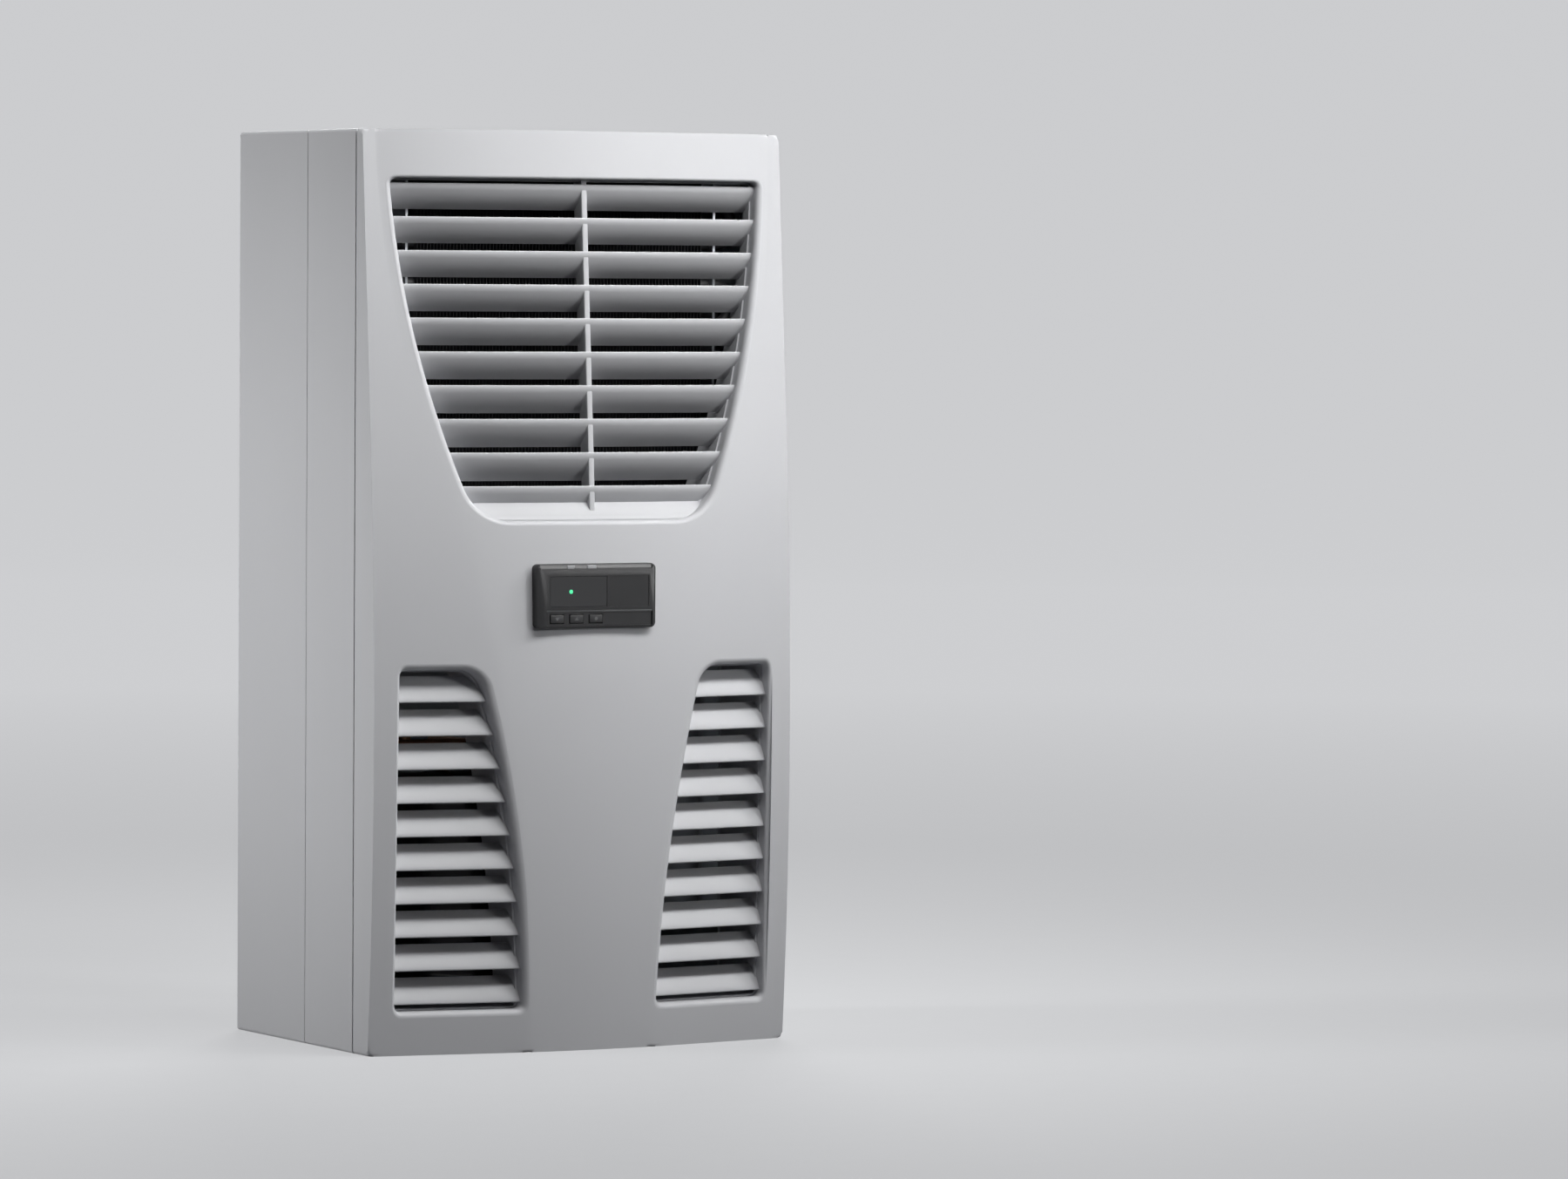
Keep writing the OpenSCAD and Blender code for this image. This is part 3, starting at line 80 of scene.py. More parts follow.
# %% Camera at the photograph's angle
yaw, pitch, roll = 0.4988, -0.0399, 0.0065
camera_x, camera_back, camera_z = -2124.1, 4340.2, 462.5
sensor_w, focal_px, photo_px = 36, 8929, 1800
forward = Vector((sin(yaw) * cos(pitch), cos(yaw) * cos(pitch), sin(pitch)))
level_right = Vector((cos(yaw), -sin(yaw), 0))
level_up = level_right.cross(forward)
right = cos(roll) * level_right + sin(roll) * level_up
up = -sin(roll) * level_right + cos(roll) * level_up

camera_data = bpy.data.cameras.new("camera")
camera_data.sensor_width = sensor_w
camera_data.lens = focal_px / photo_px * sensor_w
camera = bpy.data.objects.new("camera", camera_data)
turn = Matrix((right, up, -forward)).transposed().to_4x4()
spot = Vector((camera_x, rear_y - camera_back, camera_z)) * mm
camera.matrix_world = Matrix.Translation(spot) @ turn
bpy.context.collection.objects.link(camera)
bpy.context.scene.camera = camera
print("camera", [round(v, 3) for v in camera.location], "lens", round(camera_data.lens, 1))

# %% [markdown]
# ## Shader expressions
#
# Finishes are sums and products of a few patterns. `Field` wraps one socket, so `1 - mask * 0.2`
# adds the Math nodes by itself. `Finish` is one material with its Principled shader.

# %% Fields and finishes
class Field:
    def __init__(self, finish, socket):
        self.finish = finish
        self.socket = socket

    def math(self, operation, other, first=True):
        a, b = (self, other) if first else (other, self)
        return self.finish.add("ShaderNodeMath", {"operation": operation}, {0: a, 1: b})

    def __add__(self, other):
        return self.math("ADD", other)

    def __sub__(self, other):
        return self.math("SUBTRACT", other)

    def __mul__(self, other):
        return self.math("MULTIPLY", other)

    def __rsub__(self, other):
        return self.math("SUBTRACT", other, first=False)

    __radd__ = __add__
    __rmul__ = __mul__

    def above(self, level):
        return self.math("GREATER_THAN", level)


class Finish:
    def __init__(self, name, **constants):
        self.material = bpy.data.materials.new(name)
        self.material.use_nodes = True
        self.tree = self.material.node_tree
        self.shader = self.tree.nodes["Principled BSDF"]
        self.place = self.add("ShaderNodeTexCoord", {}, {}, out="Object")
        for socket, value in constants.items():
            self.shader.inputs[socket.replace("_", " ")].default_value = value

    def add(self, kind, settings, inputs, out=0):
        node = self.tree.nodes.new(kind)
        for key, value in settings.items():
            setattr(node, key, value)
        for key, value in inputs.items():
            if isinstance(value, Field):
                self.tree.links.new(value.socket, node.inputs[key])
            else:
                node.inputs[key].default_value = value
        return Field(self, node.outputs[out])

    def noise(self, scale, detail=2.0, roughness=0.5, stretch=None):
        place = self.place
        if stretch:
            place = self.add("ShaderNodeMapping", {}, {"Vector": place, "Scale": stretch})
        return self.add("ShaderNodeTexNoise", {},
                        {"Vector": place, "Scale": scale, "Detail": detail, "Roughness": roughness})

    def mix(self, factor, low, high):
        return self.add("ShaderNodeMix", {"data_type": "RGBA"}, {0: factor, 6: low, 7: high}, out=2)

    def drive(self, socket, value):
        self.tree.links.new(value.socket, self.shader.inputs[socket])

    def bump(self, height, distance, strength=1.0):
        normal = self.add("ShaderNodeBump", {},
                          {"Strength": strength, "Distance": distance, "Height": height})
        self.drive("Normal", normal)


def shade(color, factor):
    return tuple(c * factor for c in color[:3]) + (1.0,)

# %% [markdown]
# ## Painted steel and moulded plastic
#
# The casing is sheet steel with a light grey powder coat. Such a coat dries with a fine orange
# peel, less than a millimetre from crest to crest, and is a touch smoother on its crests. The
# cover is moulded in the same grey with a finer, drier grain. The louvres get that grain on a
# copy of the grey made 7 % darker, which is painted shade.

# %% Powder coat and moulded grain
GREY = (0.565, 0.570, 0.588, 1.0)


def coated(name, color, peel_scale, peel_depth, rough, rough_span):
    finish = Finish(name, Specular_IOR_Level=0.42)
    peel = finish.noise(peel_scale, detail=3.0, roughness=0.55)
    cloud = finish.noise(9.0, detail=2.0)
    finish.drive("Base Color", finish.mix(cloud, shade(color, 0.965), shade(color, 1.03)))
    finish.drive("Roughness", rough + (peel - 0.5) * rough_span + (cloud - 0.5) * 0.06)
    finish.bump(peel, peel_depth)
    return finish.material


casing_coat = coated("casing_coat", GREY, 900.0, 0.00006, 0.44, 0.10)
cover_grain = coated("cover_grain", GREY, 2600.0, 0.00003, 0.50, 0.08)
# The louvres' grey is 7 % darker than the cover's: painted shade.
shaded_louvre_grain = coated("shaded_louvre_grain", shade(GREY, 0.93), 2600.0, 0.00003, 0.52, 0.08)
print("greys are ready")

# %% [markdown]
# ## Metals, rubber and dark plastics
#
# Zinc-plated sheet shows a cloudy grain, drawn copper is streaked and slightly tarnished, and the
# evaporator's fins are bare aluminium. The condenser's fins have a dark coat, taken near black as
# painted shade for the dark between the louvres, and its copper tubes get the same coat as painted
# shade too. Dark plastics differ mostly in roughness: satin for the fan wheels and the controller's
# frame, polished for its window.

# %% Metals
def metal(name, bright, dull, rough, scale, stretch=None, metallic=1.0, depth=0.00001):
    finish = Finish(name, Metallic=metallic)
    cloud = finish.noise(scale, detail=4.0, roughness=0.6, stretch=stretch)
    fine = finish.noise(scale * 8, detail=2.0)
    finish.drive("Base Color", finish.mix(cloud, dull, bright))
    finish.drive("Roughness", rough + (cloud - 0.5) * 0.18 + (fine - 0.5) * 0.08)
    finish.bump(fine, depth)
    return finish.material


zinc_sheet = metal("zinc_sheet", (0.62, 0.64, 0.66, 1), (0.44, 0.46, 0.48, 1), 0.38, 60.0)
zinc_bright = metal("zinc_bright", (0.74, 0.75, 0.76, 1), (0.60, 0.61, 0.63, 1), 0.26, 150.0)
fin_aluminium = metal("fin_aluminium", (0.80, 0.81, 0.82, 1), (0.66, 0.67, 0.69, 1), 0.34, 90.0,
                      stretch=(1, 1, 6))
# Near black: painted shade for the dark between the louvres, over a dark fin coat.
fin_coating = metal("fin_coating", (0.020, 0.020, 0.022, 1), (0.008, 0.008, 0.009, 1), 0.55, 90.0,
                    stretch=(1, 1, 6), metallic=0.0)
drawn_copper = metal("drawn_copper", (0.72, 0.40, 0.25, 1), (0.36, 0.19, 0.12, 1), 0.30, 45.0,
                     stretch=(1, 1, 0.4))

# %% Dark plastics, rubber and enamel
def satin(name, color, rough, grain_scale, grain_depth, coat=0.0):
    finish = Finish(name, Specular_IOR_Level=0.45)
    finish.shader.inputs["Coat Weight"].default_value = coat
    grain = finish.noise(grain_scale, detail=3.0)
    dust = finish.noise(35.0, detail=3.0, roughness=0.6)
    finish.drive("Base Color", finish.mix(dust, shade(color, 0.85), shade(color, 1.2)))
    finish.drive("Roughness", rough + (grain - 0.5) * 0.12 + (dust - 0.5) * 0.05)
    finish.bump(grain, grain_depth)
    return finish.material


fan_plastic = satin("fan_plastic", (0.016, 0.016, 0.018), 0.44, 2200.0, 0.00003)
controller_satin = satin("controller_satin", (0.007, 0.007, 0.008), 0.36, 3000.0, 0.00002)
key_satin = satin("key_satin", (0.011, 0.011, 0.012), 0.46, 3000.0, 0.00002)
lead_jacket = satin("lead_jacket", (0.012, 0.012, 0.012), 0.55, 1500.0, 0.00002)
soft_rubber = satin("soft_rubber", (0.020, 0.020, 0.021), 0.82, 1800.0, 0.00005)
gasket_foam = satin("gasket_foam", (0.018, 0.018, 0.019), 0.92, 1100.0, 0.00018)
black_enamel = satin("black_enamel", (0.010, 0.010, 0.011), 0.24, 500.0, 0.00003, coat=0.4)
relay_blue = satin("relay_blue", (0.015, 0.035, 0.16), 0.30, 1500.0, 0.00001)
window_gloss = satin("window_gloss", (0.003, 0.003, 0.004), 0.05, 400.0, 0.0000005, coat=1.0)
board_mask = satin("board_mask", (0.010, 0.060, 0.022), 0.32, 700.0, 0.00003)
print("dark finishes are ready")

# %% [markdown]
# ## Status lamp
#
# The lamp is a small green light behind the window, so its lens glows by itself.

# %% Lamp
lamp_glow = Finish("lamp_glow", Roughness=0.2, Emission_Strength=0.9)
lamp_cells = lamp_glow.noise(900.0)
lamp_glow.drive("Base Color", lamp_glow.mix(lamp_cells, (0.02, 0.5, 0.15, 1), (0.05, 0.8, 0.3, 1)))
lamp_glow.drive("Emission Color",
                lamp_glow.mix(lamp_cells, (0.05, 0.50, 0.24, 1), (0.16, 0.78, 0.46, 1)))

# %% Give every node its finish
finishes = {
    "casing_paint": casing_coat, "cover_plastic": cover_grain, "grille_plastic": shaded_louvre_grain,
    "gasket_foam": gasket_foam, "zinc_plate": zinc_sheet, "zinc_parts": zinc_bright,
    "compressor_paint": black_enamel, "motor_paint": black_enamel, "fan_plastic": fan_plastic,
    "rubber_black": soft_rubber, "fin_aluminium": fin_aluminium, "fin_coating": fin_coating,
    "copper_pipe": drawn_copper, "board_green": board_mask, "relay_blue": relay_blue,
    "capacitor_can": fin_aluminium,
    "lead_jacket": lead_jacket, "controller_black": controller_satin, "window_gloss": window_gloss,
    "lamp_green": lamp_glow.material, "key_plastic": key_satin,
}
for part in frame["record"]["subparts"]:
    node = frame["nodes"][part["node"]]
    node.data.materials.clear()
    node.data.materials.append(finishes[part["material_slot"]])
# Painted shade: the copper tubes get the near-black fin coat so that they read dark between the louvres.
frame["nodes"]["condenser_tubes"].data.materials[0] = fin_coating
print(len(finishes), "finishes on the nodes; the condenser's tubes are coated like its fins")

# %% [markdown]
# ## The cover's form
#
# In side view the cover bows forward and leans back towards the top. In plan view its middle is a
# shallow arc and its wings run straight to the sides. A crease parts the two: narrow at the foot,
# flaring outwards in two tangent arcs. `reach` says how far the skin stands ahead of the joint
# plane at a place in front view.

# %% Form of the skin
cover_d, bow_z, bow_r, bow_end_z = 46.0, 190.0, 2500.0, 370.0
plan_r, edge_reach = 535.0, 28.5
crease_foot, crease_top, turn_share = 41.0, 132.0, 0.656
crease_sum = (body_h ** 2 + (crease_top - crease_foot) ** 2) / (2 * (crease_top - crease_foot))
low_r = turn_share * crease_sum
high_r = crease_sum - low_r
high_x = crease_top - high_r


def bow(z):
    if z < bow_end_z:
        return (z - bow_z) ** 2 / (2 * bow_r)
    run = bow_end_z - bow_z
    return run ** 2 / (2 * bow_r) + run / bow_r * (z - bow_end_z)


def crease_x(z):
    z = min(max(z, 0.0), body_h)
    if z < turn_share * body_h:
        return crease_foot + low_r - sqrt(low_r ** 2 - z ** 2)
    return high_x + sqrt(high_r ** 2 - (body_h - z) ** 2)


def middle_reach(x, z):
    return cover_d - bow(z) - (plan_r - sqrt(plan_r ** 2 - x ** 2))


def reach(x, z):
    crease = crease_x(z)
    if abs(x) < crease:
        return middle_reach(x, z)
    shoulder = middle_reach(crease, z)
    edge = edge_reach - bow(z)
    return shoulder + (edge - shoulder) * (abs(x) - crease) / (half_w - crease)


def on_skin(x, z, depth=0.0):
    return Vector((x, joint_y - reach(x, z) + depth, z)) * mm


print("crease from", crease_foot, "to", crease_top, "mm; arcs", round(low_r), "and", round(high_r))

# %% [markdown]
# ## Making a piece
#
# Each new mesh becomes an object at the origin, smooth but for its real edges, with its finish
# and the body that it rides on. Live modifiers are turned into mesh at once, so what follows can
# rely on the final shape.

# %% Helpers for pieces
def piece(name, bm, material, body, angle=35):
    bmesh.ops.recalc_face_normals(bm, faces=bm.faces)
    mesh = bpy.data.meshes.new(name)
    bm.to_mesh(mesh)
    bm.free()
    obj = bpy.data.objects.new(name, mesh)
    bpy.context.collection.objects.link(obj)
    obj.data.materials.append(material)
    smooth(obj, angle)
    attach(obj, body)
    return obj


def smooth(obj, angle):
    obj.data.shade_smooth()
    obj.data.set_sharp_from_angle(angle=radians(angle))


def settle(obj, angle=35):
    graph = bpy.context.evaluated_depsgraph_get()
    mesh = bpy.data.meshes.new_from_object(obj.evaluated_get(graph))
    obj.modifiers.clear()
    obj.data = mesh
    smooth(obj, angle)


def slab(name, outline, y0, y1):
    """A flat outline in front view, extruded from y0 to y1: used to cut openings."""
    bm = bmesh.new()
    verts = [bm.verts.new(Vector((x, y0, z)) * mm) for x, z in outline]
    face = bm.faces.new(verts)
    grown = bmesh.ops.extrude_face_region(bm, geom=[face])
    moved = [v for v in grown["geom"] if isinstance(v, bmesh.types.BMVert)]
    bmesh.ops.translate(bm, vec=Vector((0, y1 - y0, 0)) * mm, verts=moved)
    bmesh.ops.recalc_face_normals(bm, faces=bm.faces)
    mesh = bpy.data.meshes.new(name)
    bm.to_mesh(mesh)
    bm.free()
    obj = bpy.data.objects.new(name, mesh)
    bpy.context.collection.objects.link(obj)
    return obj

# %% [markdown]
# ## Outlines of the openings
#
# An outline is a run of stations: a point of the edge and the direction that leads away from the
# opening. Moving every station along its direction gives a parallel outline, so the skin, its
# rounded rim and the duct behind it all come from one list. Each station also carries the radius
# with which the skin rolls over into the duct there: wide at the sides of the upper opening and
# where the lower ones come near the crease, small elsewhere.

# %% Stations round the openings
upper_low, upper_high, margin = 317.515, 521.0, 8.0
upper_corner, small_corner = 30.0, 4.0
lower_low, lower_high, lower_side = 26.0, 229.515, 124.0
lower_foot, lower_r, lower_corner = 44.6, 880.0, 15.0
inner_roll, end_roll, side_roll, crease_clear = 4.5, 3.6, 2.2, 0.2
upper_side_roll, upper_top_roll, upper_foot_roll = 4.2, 1.8, 2.8


def arc(cx, cz, r, start, end, count):
    turns = [start + (end - start) * i / count for i in range(count + 1)]
    return [(cx + r * cos(t), cz + r * sin(t), cos(t), sin(t)) for t in turns]


def upper_stations():
    side_r = high_r - margin
    foot_x = high_x + sqrt((side_r - upper_corner) ** 2 - (body_h - upper_low - upper_corner) ** 2)
    foot_turn = atan2(upper_low + upper_corner - body_h, foot_x - high_x)
    head_x = high_x + sqrt((side_r - small_corner) ** 2 - (body_h - upper_high + small_corner) ** 2)
    head_turn = atan2(upper_high - small_corner - body_h, head_x - high_x)
    side = (arc(foot_x, upper_low + upper_corner, upper_corner, -pi / 2, foot_turn, 20)
            + arc(high_x, body_h, side_r, foot_turn, head_turn, 40)[1:-1]
            + arc(head_x, upper_high - small_corner, small_corner, head_turn, pi / 2, 8))
    middle = [(side[0][0] * (1 - i / 16), upper_low, 0, -1) for i in range(1, 16)]
    top = [(side[-1][0] * (1 - i / 20), upper_high, 0, 1) for i in range(1, 20)]
    half = middle[::-1] + side + top
    whole = half + [(0, upper_high, 0, 1)] + [(-x, z, -dx, dz) for x, z, dx, dz in half[::-1]]
    stations = []
    for x, z, dx, dz in whole + [(0, upper_low, 0, -1)]:
        end = upper_top_roll if dz > 0 else upper_foot_roll
        stations.append((x, z, dx, dz, upper_side_roll * dx ** 2 + end * dz ** 2))
    return stations


def lower_stations(sign):
    cx = lower_foot + lower_r
    xo = lower_side - small_corner
    head_x = cx - sqrt((lower_r - lower_corner) ** 2 - (lower_high - lower_corner) ** 2)
    head_turn = atan2(lower_high - lower_corner, head_x - cx)
    foot_x = cx - sqrt((lower_r - small_corner) ** 2 - (lower_low + small_corner) ** 2)
    foot_turn = atan2(lower_low + small_corner, foot_x - cx)
    run = (arc(xo, lower_low + small_corner, small_corner, -pi / 2, 0, 8)
           + arc(xo, lower_high - small_corner, small_corner, 0, pi / 2, 8)
           + arc(head_x, lower_high - lower_corner, lower_corner, pi / 2, head_turn, 14)
           + arc(cx, 0, lower_r, head_turn, foot_turn, 40)[1:-1]
           + arc(foot_x, lower_low + small_corner, small_corner, foot_turn, 3 * pi / 2, 8))
    stations = []
    for x, z, dx, dz in run:
        side = side_roll if dx > 0 else min(inner_roll, x - crease_x(z) - crease_clear)
        stations.append((sign * x, z, sign * dx, dz, side * dx ** 2 + end_roll * dz ** 2))
    return stations


def rolled_outline(stations):
    return [(x + roll * dx, z + roll * dz) for x, z, dx, dz, roll in stations]


openings = {"upper": upper_stations(), "left": lower_stations(-1), "right": lower_stations(1)}
print({name: len(run) for name, run in openings.items()}, "stations")

# %% [markdown]
# ## Skin of the front cover
#
# The skin starts as a flat grid whose columns are bent so that one of them lies on the crease at
# every height. The outermost rows and columns keep a fixed width, which leaves the bevel of the
# outer edges room to run. The rim is pulled back to the shadow line, and a Solidify modifier gives
# the skin the wall of a moulding. Prisms then cut the three openings, and the crease is marked
# sharp so that the middle and the wings each keep one clean tone.

# %% Grid, rim and wall of the cover
wing_share = 0.42
cover_wall = 2.3
shadow_gap = 1.2
columns, rows = 84, 138
edge_band, edge_round = 3.6, 2.2
cut_front, cut_back = 80.0, 10.0


def grid_place(u, v):
    inner, last = 1 - wing_share, 1 - 2 / columns
    height = (v + 1) / 2 * rows
    z = edge_band + (body_h - 2 * edge_band) * (height - 1) / (rows - 2)
    z = 0.0 if height < 0.5 else body_h if height > rows - 0.5 else z
    crease, side = crease_x(z), abs(u)
    if side <= inner + 1e-6:
        x = crease * side / inner
    elif side <= last + 1e-6:
        x = crease + (half_w - edge_band - crease) * (side - inner) / (last - inner)
    else:
        x = half_w
    return (x if u > 0 else -x), z


bm = bmesh.new()
bmesh.ops.create_grid(bm, x_segments=columns, y_segments=rows, size=1.0)
for v in bm.verts:
    v.co = on_skin(*grid_place(v.co.x, v.co.y))
edge_loop = [e for e in bm.edges if e.is_boundary]
grown = bmesh.ops.extrude_edge_only(bm, edges=edge_loop)
for v in grown["geom"]:
    if isinstance(v, bmesh.types.BMVert):
        v.co.y = (joint_y - shadow_gap) * mm
corner_edges = [e for e in bm.edges if not e.is_boundary
                and all(abs(abs(v.co.x) - half_w * mm) < 1e-6 for v in e.verts)
                and all(min(v.co.z, body_h * mm - v.co.z) < 1e-6 for v in e.verts)]
bmesh.ops.bevel(bm, geom=edge_loop + corner_edges, offset=edge_round * mm, segments=5, profile=0.5,
                affect="EDGES", material=-1)
skin = piece("cover_skin", bm, cover_grain, "cover")
wall = skin.modifiers.new("wall", "SOLIDIFY")
wall.thickness = cover_wall * mm
wall.offset = -1
settle(skin)
print("skin before cutting:", len(skin.data.polygons), "faces")

# %% Cut the openings
def combine(obj, tools, operation="DIFFERENCE", angle=35):
    for tool in tools:
        step = obj.modifiers.new(tool.name, "BOOLEAN")
        step.operation = operation
        step.solver = "EXACT"
        step.object = tool
    settle(obj, angle)
    for tool in tools:
        bpy.data.objects.remove(tool)


combine(skin, [slab("cut_" + name, rolled_outline(run), joint_y - cut_front, joint_y + cut_back)
               for name, run in openings.items()])
near_line, upright, band_slack = 0.02, 0.5, 0.1
crease_low, crease_high = edge_band - band_slack, body_h - edge_band + band_slack
spots = [v.co / mm for v in skin.data.vertices]
on_crease = [abs(abs(s.x) - crease_x(s.z)) < near_line for s in spots]
for edge in skin.data.edges:
    a, b = edge.vertices
    if (on_crease[a] and on_crease[b] and abs(spots[a].z - spots[b].z) > upright
            and crease_low < min(spots[a].z, spots[b].z) and max(spots[a].z, spots[b].z) < crease_high):
        edge.use_edge_sharp = True
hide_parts("front_cover")
print("skin after cutting:", len(skin.data.polygons), "faces,", sum(on_crease), "points on the crease")

# %% [markdown]
# ## Rims and ducts
#
# Behind each opening a duct runs back to the hood, and its front edge rolls over into the skin.
# That roll catches the light as a bright or dark line round the opening, by the side it is on. A
# profile with the station's own radius is carried from station to station, and the last loop is
# bridged to the first.

# %% Carry a profile round an opening
duct_gap, duct_thinner = 0.3, 0.2
duct_wall = cover_wall - duct_thinner
lap, lap_front, lap_back, wall_front = 0.5, 0.3, 1.6, 2.4


def carried(name, stations, profile, material, body):
    bm = bmesh.new()

    def place(loop, station):
        x, z, dx, dz, roll = station
        for vert, (out, depth) in zip(loop, profile(roll)):
            px, pz = x + out * dx, z + out * dz
            y = joint_y - duct_gap if depth is None else joint_y - reach(px, pz) + depth
            vert.co = Vector((px, y, pz)) * mm

    loop = [bm.verts.new() for _ in profile(1.0)]
    place(loop, stations[0])
    edges = [bm.edges.new((loop[i - 1], loop[i])) for i in range(len(loop))]
    first = edges
    for station in stations[1:]:
        grown = bmesh.ops.extrude_edge_only(bm, edges=edges)["geom"]
        new_edges = [g for g in grown if isinstance(g, bmesh.types.BMEdge)
                     and not any(v in loop for v in g.verts)]
        twins = {}
        for old in loop:
            twins[old] = next(e.other_vert(old) for e in old.link_edges
                              if e.other_vert(old) not in loop and e.other_vert(old) in
                              {v for n in new_edges for v in n.verts})
        loop = [twins[v] for v in loop]
        place(loop, station)
        edges = new_edges
    bmesh.ops.bridge_loops(bm, edges=first + edges)
    return piece(name, bm, material, body)


def duct_profile(roll):
    curve = [(roll - roll * sin(radians(t)), roll - roll * cos(radians(t))) for t in range(0, 91, 15)]
    back = [(0, None), (duct_wall, None), (duct_wall, wall_front), (roll + lap, lap_back)]
    return [(roll + lap, lap_front)] + curve + back


for name, run in openings.items():
    carried(name + "_duct", run, duct_profile, cover_grain, "cover")
print("ducts carried round", len(openings), "openings")

# %% [markdown]
# ## Louvres
#
# The blades are thin curved plates. The upper ones fall towards the rear and show their underside,
# the lower ones climb and show their upper side. Each blade is a closed profile that is carried
# from wall to wall of the duct, so its ends follow the opening at every height. The cover leans
# back towards its top, and the blades there are shorter, which leaves wider gaps.

# %% Spans and profiles of the blades
lip_recess, lip_h, lip_ease, lip_top = 5.0, 2.3, 0.6, 1.2
blade_pitch, blade_run, blade_bend = 20.0, 12.0, radians(17)
blades, upper_rise, lower_rise = 10, 19.5, 4.0
upper_first, lower_first = upper_low + upper_rise, lower_low + lower_rise
fall_low, fall_high = 15.2, 13.3
lower_lip, lower_climb = 0.9, 13.0


def span(stations, z):
    hits = []
    for (x0, z0, *_), (x1, z1, *_) in zip(stations, stations[1:] + stations[:1]):
        if min(z0, z1) <= z < max(z0, z1):
            hits.append(x0 + (x1 - x0) * (z - z0) / (z1 - z0))
    return min(hits), max(hits)


def curved(depth, height, run, climb, count=8):
    """An arc from its steep front end, given by depth and height, to its flatter rear end."""
    chord, length = atan2(run, abs(climb)), sqrt(run ** 2 + climb ** 2)
    spots = []
    for i in range(count + 1):
        turn = blade_bend * i / count
        step = length * sin(turn) / sin(blade_bend)
        angle = chord - blade_bend + turn
        spots.append((depth + step * sin(angle), height + step * cos(angle) * (1 if climb > 0 else -1)))
    return spots


def corner(depth, height, start, end):
    return [(d, h) for d, h, _, _ in arc(depth, height, lip_ease, start, end, 4)]


def upper_profile(k):
    fall = fall_low + (fall_high - fall_low) * k / (blades - 1)
    run = blade_run * fall / fall_low
    under = curved(0, -lip_h / 2, run, -fall)
    over = curved(lip_top, lip_h / 2, run - lip_top, -fall)
    return under + over[::-1] + corner(lip_ease, lip_h / 2 - lip_ease, pi / 2, pi)


def lower_profile(k):
    over = curved(0, lower_lip, blade_run, lower_climb + lip_h - lower_lip)
    under = curved(lip_top, 0, blade_run - lip_top, lower_climb)
    return over + under[::-1] + corner(lip_ease, lip_ease, 3 * pi / 2, pi)


# %% Carry the profiles across the openings
def across(bm, stations, z, profile, count=24):
    loops = []
    for i in range(count + 1):
        loop = []
        for depth, height in profile:
            x0, x1 = span(stations, z + height)
            x = x0 + (x1 - x0) * i / count
            y = joint_y - reach(x, z) + lip_recess + depth
            loop.append(bm.verts.new(Vector((x, y, z + height)) * mm))
        loops.append(loop)
    for near, far in zip(loops, loops[1:]):
        for i in range(len(near)):
            bm.faces.new((near[i - 1], near[i], far[i], far[i - 1]))
    bm.faces.new(loops[0])
    bm.faces.new(loops[-1])


def louvres(name, first, profile, sill=None):
    bm = bmesh.new()
    for k in range(blades):
        across(bm, openings[name], first + k * blade_pitch, profile(k))
    if sill:
        across(bm, openings[name], upper_low + sill_clear, sill)
    made = piece(name + "_louvres", bm, shaded_louvre_grain, "cover")
    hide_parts(name + "_grille")


def lining_profile(roll):
    return [(-lining_clear, lining_front), (-lining_clear, None),
            (-lining_in, None), (-lining_in, lining_front)]


lining_clear, lining_in, lining_front = 0.1, 1.3, 9.0
sill_clear, sill_back, sill_h = 0.1, 6.0, 11.0
nose_out, nose_h, nose_ease, nose_top = 1.6, 0.8, 1.0, 1.6
sill_profile = [(-nose_out, 0.0), (-nose_out, nose_h)]
sill_profile += curved(-nose_ease, nose_top, sill_back + nose_ease, sill_h - nose_top) + [(sill_back, 0.0)]
louvres("upper", upper_first, upper_profile, sill_profile)
louvres("left", lower_first, lower_profile)
louvres("right", lower_first, lower_profile)
for name, run in openings.items():
    carried(name + "_lining", run, lining_profile, shaded_louvre_grain, "cover")

# %% Mullion of the upper opening
mullion_half, mullion_recess, mullion_d, mullion_rows = 1.85, 0.7, 10.0, 24
foot_gap, head_gap = 1.0, 0.5
mullion_low, mullion_high = upper_low + foot_gap, upper_high - head_gap
bm = bmesh.new()
plan = [(-mullion_half, mullion_d), (mullion_half, mullion_d)]
plan += [(x, d) for x, d, _, _ in arc(mullion_half - lip_ease, lip_ease, lip_ease, 0, -pi / 2, 4)]
plan += [(x, d) for x, d, _, _ in arc(lip_ease - mullion_half, lip_ease, lip_ease, -pi / 2, -pi, 4)]
loops = []
for row in range(mullion_rows + 1):
    z = mullion_low + (mullion_high - mullion_low) * row / mullion_rows
    y = joint_y - reach(0, z) + lip_recess + mullion_recess
    loops.append([bm.verts.new(Vector((x, y + d, z)) * mm) for x, d in plan])
for near, far in zip(loops, loops[1:]):
    for i in range(len(plan)):
        bm.faces.new((near[i - 1], near[i], far[i], far[i - 1]))
bm.faces.new(loops[0])
bm.faces.new(loops[-1])
piece("upper_mullion", bm, shaded_louvre_grain, "cover")
print("three sets of", blades, "blades")

# %% [markdown]
# ## Controller
#
# The controller is a small black box plugged into the cover. Its face is one moulding with rounded
# corners, a sloping upper edge that shows as a grey band, a pocket for the window and a lower one
# for the keys. The face is a stack of loops round one outline, bridged in turn and capped, then
# joined with the sleeve behind it and pierced with prisms. Two small light grey blocks on its upper
# edge are painted highlights: they stand for two glints there.

# %% Outline and face of the controller
face_x, face_z, face_w, face_h, face_corner = -3.0, 272.765, 80.0, 38.5, 3.0
top_slope, top_lean, top_share, top_power, edge_ease = 3.6, 1.2, 0.6, 4, 0.8
rounds, skin_seat = 5, 1.2


